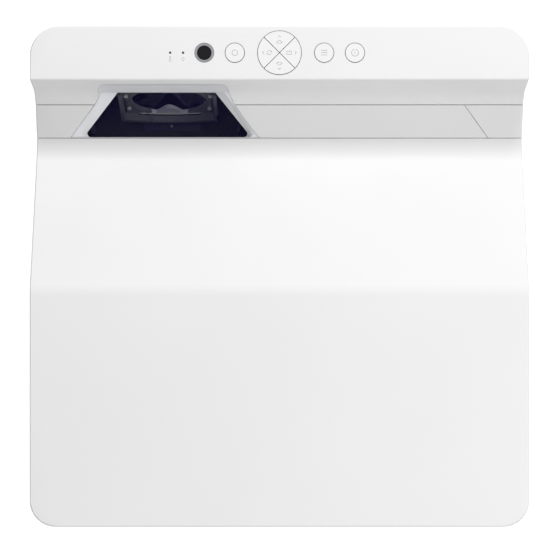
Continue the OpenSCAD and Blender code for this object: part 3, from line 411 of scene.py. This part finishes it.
# One for each material slot of the record
MATERIALS = {
    "case_plastic": plastic("case_white", rgb("#eeeeee"), rough=0.6, depth=0.025, drift=0.012,
                            shine=0.25),
    # Keys, with painted shade along their round edges
    "key_plastic": plastic("key_white", rgb("#f0f0f0"), rough=0.42, depth=0.02, drift=0.01,
                           shine=0.3, shaded_key_edges=True),
    "bezel_plastic": plastic("bezel_pale", rgb("#e9eaed"), rough=0.34, depth=0.02, drift=0.015),
    "grille_plastic": plastic("grille_white", rgb("#e2e3e4"), rough=0.42),
    "window_glass": tinted_glass("window_coated", (0.02, 0.018, 0.085, 1.0), alpha=0.15, ior=1.12),
    "lens_glass": tinted_glass("lens_coated", rgb("#8c93b4"), alpha=0.75, ior=1.5),
    "mirror": mirror_coat("mirror_silver"),
    "gloss_black": receiver("receiver_gloss"),
    "dark_plastic": plastic("plastic_black", BLACK_PLASTIC, rough=0.5, grain=COARSE_GRAIN,
                            depth=0.12, drift=0.08),
    "grey_plastic": plastic("plastic_dark_grey", rgb("#3f3f45"), rough=0.48, grain=COARSE_GRAIN,
                            depth=0.1, drift=0.06),
    "foot_rubber": plastic("rubber_black", rgb("#1d1d1e"), rough=0.75, grain=RUBBER_GRAIN,
                           depth=0.3, drift=0.1),
    "clear_plastic": plastic("light_pipe_dark", rgb("#3a3a3c"), rough=0.25, drift=0.05),
    "jack_plastic": plastic("jack_green", rgb("#4f9a58"), drift=0.05),
    "phosphor": plastic("phosphor_yellow", rgb("#d8c24c"), rough=0.6, drift=0.06),
    "pinion_plastic": plastic("gear_natural", rgb("#d8ceb4"), drift=0.04),
    "panel_metal": metal("panel_silver", rgb("#c2c4c7"), rough=0.42, brushed=ALONG_Y, depth=0.03,
                         drift=0.03),
    "plated_steel": metal("shell_plated", STEEL, rough=0.28, brushed=ALONG_X),
    "screw_steel": metal("screw_steel", rgb("#b4b4b4"), rough=0.3),
    "cast_metal": metal("casting_grey", rgb("#a7aaae"), rough=0.5, depth=0.2),
    "fin_metal": metal("fin_aluminium", rgb("#c8cbcf"), brushed=ALONG_X),
    "board": board("board_green", BOARD_GREEN),
}
GOLD = metal("contact_gold", rgb("#d8b261"), rough=0.25, brushed=ALONG_X, depth=0.02)
INK = ink("print_grey", rgb("#8d8d92"))

# What stands on the boards: a box whose heights start at the board's top side, the colour, and
# whether it is bare metal
MAIN_PARTS = [
    ((119, 19, 0.1), (156, 56, 2.45), CHIP, False),             # processor
    ((119, 19, 2.45), (156, 56, 11), CHIP_SINK, True),          # heat sink on it
    ((114, 74, 0.1), (150, 96, 2), CHIP, False),                # two memory chips
    ((108, 106, 0.1), (152, 114, 7.9), CAN_SLEEVE, False),      # row of capacitors
    ((108, 106, 7.9), (152, 114, 9), CAN_TOP, True),
]
SUPPLY_PARTS = [
    ((19, 9, 0.1), (56, 43, 29), COIL_TAPE, False),             # transformer
    ((-11, -11, 0.1), (-5, 61, 31), PLATE_SINK, True),          # two plates that shed heat
    ((69, -11, 0.1), (75, 61, 31), PLATE_SINK, True),
    ((-9, -29, 0.1), (49, -1.5, 34.9), LARGE_SLEEVE, False),    # two large capacitors
    ((-9, -29, 34.9), (49, -1.5, 36), CAN_TOP, True),
    ((9, 69, 0.1), (60, 81, 19.9), CAN_SLEEVE, False),          # row of capacitors
    ((9, 69, 19.9), (60, 81, 21), CAN_TOP, True),
]

# Boxes round the metal inside two of the connectors
INLET_PINS = [((FACE_X - 15.8, INLET_AT[0] - 9, INLET_AT[1] - 5.2),
               (FACE_X + 3, INLET_AT[0] + 9, INLET_AT[1] + 5.2))]
SOCKET_POSTS = [((FACE_X - 1.5, y - 3, HIGH_ROW - 6), (FACE_X + 6, y + 3, HIGH_ROW + 6))
                for y in (COMPUTER_Y - POST_OFFSET, COMPUTER_Y + POST_OFFSET)]

# Nodes that look different from the rest of their slot
NODE_MATERIALS = {
    "main_board": populated("main_board_parts", BOARD_GREEN,
                            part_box("main_board")[0][2] * 1000 + BOARD_T, MAIN_PARTS),
    "power_supply": populated("supply_board_parts", BOARD_TAN,
                              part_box("power_supply")[0][2] * 1000 + BOARD_T, SUPPLY_PARTS),
    # Its pale second colour is a painted reflection of the lens
    "mirror_holder": holder_with_painted_reflection("holder_with_painted_reflection", rgb("#7a7a80"), rgb("#e4e8f4")),
    "mirror_chamber": plastic("chamber_black", rgb("#17171e"), rough=0.6, grain=COARSE_GRAIN,
                              depth=0.1, drift=0.08),
    # Near-white matte screws: painted highlights in place of the glints off their heads
    "mirror_screws": plastic("screws_painted_highlight", rgb("#f2f2f4"), rough=0.3, grain=COARSE_GRAIN,
                             depth=0.05, drift=0.03),
    "mains_inlet": two_part("inlet_black", BLACK_PLASTIC, 0.5, INLET_PINS, PIN_METAL),
    "computer_socket": two_part("computer_blue", SOCKET_BLUE, 0.45, SOCKET_POSTS, STEEL),
}


# --- Shading --------------------------------------------------------------------------------

# Tiny values that keep a face without an area from dividing by nothing
TINY_LENGTH, TINY_WEIGHT, TINY_SUM = 1e-20, 1e-16, 1e-30

# Moulded shells, whose rounded edges have few faces
COVERS = ("top_cover", "control_cover", "cheek_left", "cheek_right", "window_panel",
          "bottom_cover", "window_bezel")


def column(items, name, count, kind=float):
    """One attribute of a mesh's items, as an array."""
    values = np.zeros(count, kind)
    items.foreach_get(name, values)
    return values


def smooth(obj, angle):
    """Custom normals: each corner takes the mean of the faces at its place within the angle."""
    me = obj.data
    count, faces = len(me.loops), len(me.polygons)
    co = column(me.vertices, "co", 3 * len(me.vertices)).reshape(-1, 3)
    vert = column(me.loops, "vertex_index", count, np.int64)
    start = column(me.polygons, "loop_start", faces, np.int64)
    total = column(me.polygons, "loop_total", faces, np.int64)
    area = column(me.polygons, "area", faces)
    face = np.repeat(np.arange(faces), total)
    normal = column(me.polygons, "normal", 3 * faces).reshape(-1, 3)[face]

    # A corner's weight is its face's area times its own angle
    index = np.arange(count)
    first = start[face]
    after = first + (index - first + 1) % total[face]
    before = first + (index - first - 1) % total[face]
    a = co[vert[after]] - co[vert]
    b = co[vert[before]] - co[vert]
    lengths = np.linalg.norm(a, axis=1) * np.linalg.norm(b, axis=1) + TINY_LENGTH
    corner = np.arccos(np.clip((a * b).sum(1) / lengths, -1, 1))
    weight = np.maximum(area[face] * corner, TINY_WEIGHT)

    # Corners at one place, to the micrometre, stand together in order. Each meets each there.
    microns = np.round(co * MICRONS_PER_METRE).astype(np.int64)
    _, place = np.unique(microns, axis=0, return_inverse=True)
    place = place.reshape(-1)[vert]
    order = np.argsort(place, kind="stable")
    _, begin, size = np.unique(place[order], return_index=True, return_counts=True)
    mine = np.repeat(order, np.repeat(size, size))
    run = np.repeat(begin, size * size)
    step = np.arange(len(mine)) - np.repeat(np.cumsum(size * size) - size * size, size * size)
    other = order[run + step % np.repeat(size, size * size)]

    near = (normal[mine] * normal[other]).sum(1) > cos(radians(angle))
    pull = (normal[other] * weight[other, None])[near]
    out = np.zeros((count, 3))
    for k in range(3):
        out[:, k] = np.bincount(mine[near], pull[:, k], count)
    out /= np.linalg.norm(out, axis=1)[:, None] + TINY_SUM
    me.polygons.foreach_set("use_smooth", np.ones(faces, bool))
    me.normals_split_custom_set(out.tolist())


def dress_nodes():
    """Gives each CAD node its material and its shading."""
    for name, obj in NODES.items():
        obj.data.materials.clear()
        obj.data.materials.append(NODE_MATERIALS.get(name) or MATERIALS[SLOT_OF[name]])
        smooth(obj, COVER_EDGE if name in COVERS else CAD_EDGE)


dress_nodes()


# --- Making pieces --------------------------------------------------------------------------

def link(obj):
    """Puts an object into the scene."""
    bpy.context.scene.collection.objects.link(obj)
    return obj


def piece(name, verts, faces, material, body):
    """A mesh in millimetres that rides on a body."""
    me = bpy.data.meshes.new(name)
    me.from_pydata([[c * MM for c in v] for v in verts], [], faces)
    me.validate()
    me.materials.append(material)
    obj = link(bpy.data.objects.new(name, me))
    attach(obj, body)
    return obj


def skin(base, rings, n):
    """Faces between rings of n points each, whose first point is number base."""
    return [(base + k * n + i, base + k * n + (i + 1) % n, base + (k + 1) * n + (i + 1) % n,
             base + (k + 1) * n + i) for k in range(rings - 1) for i in range(n)]


def loft(name, stacks, material, angle=MESH_EDGE):
    """One mesh of several bodies, each a stack of rings with equal counts, capped at both ends."""
    verts, faces = [], []
    for rings in stacks:
        base, n = len(verts), len(rings[0])
        for ring in rings:
            verts += ring
        faces += skin(base, len(rings), n)
        faces.append(tuple(base + i for i in reversed(range(n))))
        faces.append(tuple(base + (len(rings) - 1) * n + i for i in range(n)))
    obj = piece(name, verts, faces, material, "case")
    bm = bmesh.new()
    bm.from_mesh(obj.data)
    bmesh.ops.recalc_face_normals(bm, faces=bm.faces)
    bm.to_mesh(obj.data)
    bm.free()
    smooth(obj, angle)


def sleeve(name, rings, angle=MESH_EDGE):
    """Plated sheet metal over a stack of rings, open at both ends."""
    verts = [v for ring in rings for v in ring]
    faces = skin(0, len(rings), len(rings[0]))
    obj = piece(name, verts, faces, MATERIALS["plated_steel"], "case")
    smooth(obj, angle)


def circle(count=36, turn=0.0):
    """Points of a unit circle, turned by an angle in degrees."""
    angles = [radians(i * 360 / count + turn) for i in range(count)]
    return [(cos(a), sin(a)) for a in angles]


# --- Printed marks --------------------------------------------------------------------------

# How far a mark stands out, and how thick and wide its lines are
MARK_PROUD, MARK_T = 0.02, 0.05
KEY_LINE, PAD_LINE, LIGHT_LINE = 0.32, 0.26, 0.24
# At a sharp corner a line's mitre is cut short by this
MITRE_LIMIT = 0.3
# Distances of a chevron from the pad's middle, and of a light's sign from the light
CHEVRON_AT, LIGHT_SIGN_GAP = 12.4, 4.6


def ribbon(line, width, closed):
    """Left and right edges of a line drawn with that width, with mitred corners."""
    n = len(line)
    edges = []
    for i in range(n):
        p = Vector(line[i])
        prev = Vector(line[i - 1]) if closed or i > 0 else None
        nxt = Vector(line[(i + 1) % n]) if closed or i < n - 1 else None
        d1 = (p - prev).normalized() if prev is not None else (nxt - p).normalized()
        d2 = (nxt - p).normalized() if nxt is not None else d1
        n1, n2 = Vector((-d1.y, d1.x)), Vector((-d2.y, d2.x))
        off = (n1 + n2) / max(MITRE_LIMIT, 1 + n1.dot(n2)) * width / 2
        edges.append((p + off, p - off))
    return edges


def strokes(name, lines, centre, top, body, width):
    """Printed lines round a centre: each is its points and whether it is closed."""
    verts, faces = [], []
    for line, closed in lines:
        edges = ribbon(line, width, closed)
        base = len(verts)
        for left, right in edges:
            for p in (left, right):
                for z in (top, top - MARK_T):
                    verts.append((centre[0] + p.x, centre[1] + p.y, z))
        n = len(edges)
        for i in range(n if closed else n - 1):
            a, b = base + 4 * i, base + 4 * ((i + 1) % n)
            faces += [(a, a + 2, b + 2, b), (a + 1, b + 1, b + 3, a + 3), (a, b, b + 1, a + 1),
                      (a + 2, a + 3, b + 3, b + 2)]
        if not closed:
            a, b = base, base + 4 * (n - 1)
            faces += [(a, a + 1, a + 3, a + 2), (b, b + 2, b + 3, b + 1)]
    piece(name, verts, faces, INK, body)


def path(*points):
    """An open line."""
    return list(points), False


def loop(*points):
    """A closed line."""
    return list(points), True


def arc(r, a0=0.0, a1=360.0, steps=36, centre=(0.0, 0.0)):
    """Part of a circle between two angles in degrees, closed where it is a whole one."""
    full = abs(a1 - a0) >= 360
    angles = [radians(a0 + (a1 - a0) * i / steps) for i in range(steps if full else steps + 1)]
    return [(centre[0] + r * cos(a), centre[1] + r * sin(a)) for a in angles], full


def turned(lines, angle):
    """Lines turned about the centre by an angle in degrees."""
    c, s = cos(radians(angle)), sin(radians(angle))
    return [([(x * c - y * s, x * s + y * c) for x, y in line], closed) for line, closed in lines]


def round_key_marks(top):
    """A ring, three bars and the common power sign."""
    signs = {
        "key_info": [arc(2.15)],
        "key_menu": [path((-2.4, y), (2.4, y)) for y in (1.75, 0.0, -1.75)],
        "key_power": [arc(2.65, 102, 438), path((0.0, -0.8), (0.0, 1.4))],
    }
    for key, lines in signs.items():
        strokes("mark_" + key[4:], lines, (KEY_X[key], KEY_Y), top, key, KEY_LINE)


def pad_marks(top):
    """A sign and a chevron on each key of the pad, drawn for the right key and turned."""
    plate = [loop((-1.7, -1.3), (1.7, -1.3), (1.7, 1.3), (-1.7, 1.3)),
             path((-0.4, 0.6), (0.9, 0.6))]
    keystone = [loop((-1.0, -1.7), (-1.0, 1.7), (0.9, 1.0), (0.9, -1.0))]
    keystone += [path((-0.4, s * 2.6), (0.3, s * 2.2)) for s in (1, -1)]
    two_arrows = [arc(1.6, 30, 170, 10), arc(1.6, 210, 350, 10)]
    two_arrows += [path((s * 1.9, s * 1.4), (s * 1.2, s * 0.7), (s * 2.2, s * 0.3))
                   for s in (1, -1)]
    signs = {"key_right": (0, plate, 7.4), "key_up": (90, keystone, 8.3),
             "key_left": (180, two_arrows, 7.9), "key_down": (270, keystone, 8.5)}
    chevron = path((CHEVRON_AT - 0.7, 1.2), (CHEVRON_AT + 0.6, 0.0), (CHEVRON_AT - 0.7, -1.2))
    for key, (angle, sign, far) in signs.items():
        lines = [([(x + far, y) for x, y in line], closed) for line, closed in sign] + [chevron]
        strokes("mark_" + key[4:], turned(lines, angle), (0.0, KEY_Y), top, key, PAD_LINE)


def light_marks(top):
    """A thermometer and a lamp in front of the two status lights."""
    thermometer = [path((-0.4, -0.6), (-0.4, 1.7), (0.4, 1.7), (0.4, -0.6)),
                   arc(0.75, -240, 60, 16, (0, -1.3))]
    lamp = [arc(0.95, -60, 240, 16),
            path((-0.45, -1.0), (-0.45, -1.7), (0.45, -1.7), (0.45, -1.0))]
    for name, lines, x in (("mark_heat", thermometer, PIPE_X[0]), ("mark_lamp", lamp, PIPE_X[1])):
        strokes(name, lines, (x, KEY_Y - LIGHT_SIGN_GAP), top, "case", LIGHT_LINE)


round_key_marks(KEY_TOP + MARK_PROUD)
pad_marks(KEY_TOP + MARK_PROUD)
light_marks(DECK + MARK_PROUD)


# --- Insides of the connectors --------------------------------------------------------------

# Outlines across and up from the middle of each connector
VIDEO_MOUTH = [(-6.85, 2.2), (-6.85, -0.85), (-5.55, -2.2), (5.55, -2.2), (6.85, -0.85),
               (6.85, 2.2)]
USB_MOUTH = [(-6.15, 2.5), (-6.15, -2.5), (6.15, -2.5), (6.15, 2.5)]
COMPUTER_SHELL = [(-8.45, 3.9), (-7.6, -3.9), (-6.9, -4.35), (6.9, -4.35), (7.6, -3.9), (8.45, 3.9),
                  (7.9, 4.35), (-7.9, 4.35)]
# The computer socket's shell: how far out of the panel's face, and how much smaller there
SHELL_LIP = [(-0.9, 0.0), (3.7, 0.0), (3.85, 0.12), (3.7, 0.3)]
# The rim of a jack: how far out, and its radius there
JACK_LIP = [(0.9, 2.5), (1.14, 2.45), (1.18, 2.3), (1.14, 1.9), (0.2, 1.84)]
VIDEO_PITCH, VIDEO_ROW_GAP = 1.0, 0.66
USB_CONTACT_YS = (-3.5, -1.2, 1.2, 3.5)
# A spring contact of the network socket, from its mouth inwards: how far out and how high
NETWORK_SPRING = [(-2.2, 6.3), (-3.0, 6.1), (-9.5, 3.3), (-12.6, 2.6)]
SPRING_HALF, SPRING_T, SPRING_PITCH = 0.22, 0.3, 1.02
PANEL_SCREWS = [(43.6, 67.0), (114.5, 66.5)]
# How much of a screw's radius its recess takes: at the end of each of the four arms, at an
# arm's two sides, and between the arms
ARM, ARM_SIDE, BETWEEN_ARMS = 0.56, 0.5, 0.17
# A bar's nose is chamfered by at most this share of half its height
NOSE_LIMIT = 0.6


def outline_at(out, points, centre, inset=0.0):
    """A ring parallel to the panel's face and some way out of it, drawn in towards its middle."""
    return [(FACE_X + out, centre[0] + y - (inset if y > 0 else -inset),
             centre[1] + z - (inset if z > 0 else -inset)) for y, z in points]


def bar(back, tip, half, centre, nose=0.25):
    """A bar along the sockets' axis, with a chamfered nose at its outer end."""
    shape = [(a * half[0], b * half[1]) for a, b in SQUARE]
    return [outline_at(back, shape, centre), outline_at(tip - nose, shape, centre),
            outline_at(tip, shape, centre, min(nose, half[1] * NOSE_LIMIT))]


def screw_head(name, y, z, r=2.6, turn=20.0):
    """A pan head with a cross recess, on the panel."""
    foot = FACE_X - 1.0
    ring = circle(turn=turn)
    plain = [1.0] * len(ring)
    arm = len(ring) // 4
    cross = [{0: ARM, 1: ARM_SIDE, arm - 1: ARM_SIDE}.get(i % arm, BETWEEN_ARMS)
             for i in range(len(ring))]
    profile = ((0, plain, 1.0), (0.5, plain, 1.0), (1.1, plain, 0.9), (1.5, plain, 0.66),
               (1.52, cross, 1.0), (0.5, cross, 0.7))
    rings = [[(foot + x, y + r * s * k * c, z + r * s * k * d) for s, (c, d) in zip(shape, ring)]
             for x, shape, k in profile]
    loft(name, [rings], MATERIALS["screw_steel"])


def video_inside(k, y):
    """The bottom of a video socket's mouth, its tongue and two rows of contacts."""
    tongue_z = LOW_ROW + 0.3
    bottom = [outline_at(out, VIDEO_MOUTH, (y, LOW_ROW)) for out in (-11.0, -8.6)]
    tongue = bar(back=-9, tip=-1.4, half=(5.1, 0.62), centre=(y, tongue_z))
    loft(f"video_tongue_{k}", [bottom, tongue], MATERIALS["dark_plastic"])
    contacts = [bar(back=-8.6, tip=-2.0, half=(0.24, 0.05), nose=0.1,
                    centre=(y + i * VIDEO_PITCH, tongue_z + s * VIDEO_ROW_GAP))
                for i in range(-4, 5) for s in (-1, 1)]
    loft(f"video_contacts_{k}", contacts, GOLD)


def usb_inside():
    """The bottom of the USB socket's mouth, its tongue and four contacts."""
    bottom = [outline_at(out, USB_MOUTH, (USB_Y, LOW_ROW)) for out in (-12.5, -11.2)]
    tongue = bar(back=-11.5, tip=-1.6, half=(5.5, 0.95), centre=(USB_Y, LOW_ROW + 1.1))
    loft("usb_tongue", [bottom, tongue], MATERIALS["dark_plastic"])
    contacts = [bar(back=-11, tip=-2.6, half=(0.6, 0.06), centre=(USB_Y + y, LOW_ROW + 0.1),
                    nose=0.1) for y in USB_CONTACT_YS]
    loft("usb_contacts", contacts, GOLD)


def network_inside():
    """Eight spring contacts."""
    springs = []
    for i in range(8):
        y = NETWORK_Y + (i - 3.5) * SPRING_PITCH
        springs.append([[(FACE_X + x, y - SPRING_HALF, LOW_ROW + z),
                         (FACE_X + x, y + SPRING_HALF, LOW_ROW + z),
                         (FACE_X + x, y + SPRING_HALF, LOW_ROW + z - SPRING_T),
                         (FACE_X + x, y - SPRING_HALF, LOW_ROW + z - SPRING_T)]
                        for x, z in NETWORK_SPRING])
    loft("network_contacts", springs, GOLD)


def connectors():
    """Tongues, contacts, rims and screws of the connector panel."""
    for k, y in enumerate(VIDEO_YS, 1):
        video_inside(k, y)
    usb_inside()
    network_inside()
    sleeve("computer_shell", [outline_at(out, COMPUTER_SHELL, (COMPUTER_Y, HIGH_ROW), inset)
                              for out, inset in SHELL_LIP])
    for k, y in enumerate(JACK_YS, 1):
        rings = [[(FACE_X + x, y + r * c, HIGH_ROW + r * s) for c, s in circle()]
                 for x, r in JACK_LIP]
        sleeve(f"jack_rim_{k}", rings, RIM_EDGE)
    for k, (y, z) in enumerate(PANEL_SCREWS, 1):
        screw_head(f"panel_screw_{k}", y, z)


connectors()


# --- Small parts in the mirror's chamber ----------------------------------------------------

# The strip is painted shade in the gap between the holder's face and the ledge
# A dark strip along the curved ledge: how far up it, and how far out of the holder's face
SHADE_STRIP_SECTION = [(0.0, 2.95), (0.0, 3.95), (0.35, 3.85), (0.45, 2.95)]
# A polished wire over the dark strip, which tapers over this length to this share of its radius
WIRE_TAPER, WIRE_TIP = 6, 0.25
WIRE_UP, WIRE_OUT, WIRE_R = 1.35, 3.2, 0.6
# Sections of both, to either side of the middle
SECTION_STEP, SECTIONS = 1.5, 17

BAFFLE_XS = (WINDOW_X - 64.0, WINDOW_X + 56.0)
BAFFLE_Y = 121.0
# Height above the chamber's floor, and half the width and half the depth there
BAFFLE_PROFILE = [(0, 1.1, 3.6), (11, 0.8, 3.2), (12, 0.5, 2.8)]
PAD_AT = (WINDOW_X, 123.1)
PAD_OUTLINE = [(-23.5, -2.2), (-22.8, -2.8), (22.8, -2.8), (23.5, -2.2), (23.5, 2.2), (22.8, 2.8),
               (-22.8, 2.8), (-23.5, 2.2)]
# Height above the floor, and the scale of the outline there
PAD_PROFILE = [(0, 1.0), (1.2, 1.0), (1.5, 0.98)]
FLOOR_SCREW_AT = (WINDOW_X + 0.2, 123.8)
# Height above the floor, and the radius there
FLOOR_SCREW_PROFILE = [(1.4, 1.0), (2.0, 1.0), (2.3, 0.75), (2.3, 0.45), (1.9, 0.4)]


def at_holder(x, y, z):
    """A place on the mirror's holder, from across, up along it, and out of its face."""
    c, s = cos(HOLDER_TILT), sin(HOLDER_TILT)
    return (HOLDER_AT[0] + x, HOLDER_AT[1] + y * c - z * s, HOLDER_AT[2] + y * s + z * c)


def ledge_arc(x):
    """How far up the holder the inner edge of the curved ledge lies."""
    return (LEDGE_ARC_R - LEDGE_LOW) - (LEDGE_ARC_R ** 2 - x * x) ** 0.5


def holder_details():
    """Dark strip of painted shade in the corner of the curved ledge, and a polished wire above it.
    """
    xs = [i * SECTION_STEP for i in range(-SECTIONS, SECTIONS + 1)]
    rings = [[at_holder(x, ledge_arc(x) + up, out) for up, out in SHADE_STRIP_SECTION] for x in xs]
    # A dark strip of painted shade, for the gap at the ledge
    loft("mirror_shade_strip", [rings], MATERIALS["foot_rubber"], ROUND_EDGE)
    rings = []
    for x in xs:
        r = WIRE_R * min(1.0, WIRE_TIP + (xs[-1] - abs(x)) / WIRE_TAPER)
        rings.append([at_holder(x, ledge_arc(x) + WIRE_UP + r * c, WIRE_OUT + r * s)
                      for c, s in circle(8)])
    loft("mirror_wire", [rings], MATERIALS["plated_steel"], ROUND_EDGE)


def chamber_details():
    """Light baffles, a pad and a screw on the floor of the mirror's chamber."""
    dark = plastic("baffle_grey", rgb("#4a4a55"), rough=0.4, grain=COARSE_GRAIN, depth=0.08,
                   drift=0.05)
    felt = plastic("pad_blue_black", rgb("#23234a"), rough=0.5, grain=RUBBER_GRAIN, depth=0.2,
                   drift=0.1)
    for k, x in enumerate(BAFFLE_XS, 1):
        rings = [[(x + a * w, BAFFLE_Y + b * d, CHAMBER_FLOOR + z) for a, b in SQUARE]
                 for z, w, d in BAFFLE_PROFILE]
        loft(f"chamber_baffle_{k}", [rings], dark)
    rings = [[(PAD_AT[0] + x * k, PAD_AT[1] + y * k, CHAMBER_FLOOR + z) for x, y in PAD_OUTLINE]
             for z, k in PAD_PROFILE]
    loft("chamber_pad", [rings], felt)
    rings = [[(FLOOR_SCREW_AT[0] + c * r, FLOOR_SCREW_AT[1] + s * r, CHAMBER_FLOOR + z)
              for c, s in circle(24)] for z, r in FLOOR_SCREW_PROFILE]
    loft("chamber_screw", [rings], MATERIALS["screw_steel"])


holder_details()
chamber_details()


# --- Stage, light and camera, in metres -----------------------------------------------------

FLOOR_HALF = 6.0
FLOOR_GREY, FLOOR_ROUGH = 0.82, 0.9
SHADOW_GREY, FLOOR_GLOW = 0.4, 0.88
WORLD_STRENGTH, BACKGROUND_STRENGTH = 0.42, 1.0

# Name, place, size and power of each lamp; all of them point at one place
LAMPS = [
    ("top_light", (1.2, 0.3, 1.5), (0.9, 0.9), 9.7),
    ("back_light", (0.1, 1.75, 1.38), (0.9, 0.45), 22.4),
    ("front_light", (0.35, -0.75, 0.75), (0.6, 0.6), 1.8),
]
LAMP_TARGET = (0.0, 0.0, 0.1)

CAMERA_AT = (0.0004, -0.0028, 1.46)
SENSOR, LENS = 36.0, 111.3
CLIP_START, CLIP_END = 0.05, 20.0


def floor():
    """A pale floor that the camera sees as white, with the object's shadow on it."""
    me = bpy.data.meshes.new("floor")
    me.from_pydata([(x * FLOOR_HALF, y * FLOOR_HALF, 0) for x, y in SQUARE], [], [(0, 1, 2, 3)])
    obj = link(bpy.data.objects.new("floor", me))
    n = Material("floor_white")
    n.set("Base Color", grey(FLOOR_GREY))
    n.set("Roughness", FLOOR_ROUGH)
    shadowed = n.add("BsdfDiffuse", {"Color": grey(SHADOW_GREY)})
    glow = n.add("Emission", {"Color": grey(1.0), "Strength": FLOOR_GLOW})
    white = n.add("AddShader", {0: shadowed.outputs[0], 1: glow.outputs[0]})
    final = n.add("MixShader", {"Fac": n.seen(), 1: n.shader.outputs[0], 2: white.outputs[0]})
    n.feed(n.tree.nodes["Material Output"].inputs["Surface"], final.outputs[0])
    me.materials.append(n.mat)


def world():
    """Even light from all sides, which the camera sees as white."""
    studio = bpy.data.worlds.new("studio")
    bpy.context.scene.world = studio
    studio.use_nodes = True
    n = Nodes(studio.node_tree)
    plain = n.tree.nodes["Background"]
    n.feed(plain.inputs["Color"], grey(1.0))
    n.feed(plain.inputs["Strength"], WORLD_STRENGTH)
    white = n.add("Background", {"Color": grey(1.0), "Strength": BACKGROUND_STRENGTH})
    final = n.add("MixShader", {"Fac": n.seen(), 1: plain.outputs[0], 2: white.outputs[0]})
    n.feed(n.tree.nodes["World Output"].inputs["Surface"], final.outputs[0])


def softbox(name, place, size, power):
    """A rectangular lamp."""
    data = bpy.data.lights.new(name, "AREA")
    data.shape = "RECTANGLE"
    data.size, data.size_y = size
    data.energy = power
    obj = link(bpy.data.objects.new(name, data))
    obj.location = place
    aim = Vector(LAMP_TARGET) - Vector(place)
    obj.rotation_euler = aim.to_track_quat("-Z", "Y").to_euler()


def camera():
    """Straight down, as in the photograph."""
    data = bpy.data.cameras.new("photo_view")
    data.sensor_width = SENSOR
    data.lens = LENS
    data.clip_start, data.clip_end = CLIP_START, CLIP_END
    obj = link(bpy.data.objects.new("photo_view", data))
    obj.location = CAMERA_AT
    obj.rotation_euler = (0.0, 0.0, 0.0)
    bpy.context.scene.camera = obj


floor()
world()
for lamp in LAMPS:
    softbox(*lamp)
camera()
bpy.context.scene.view_settings.view_transform = "Standard"
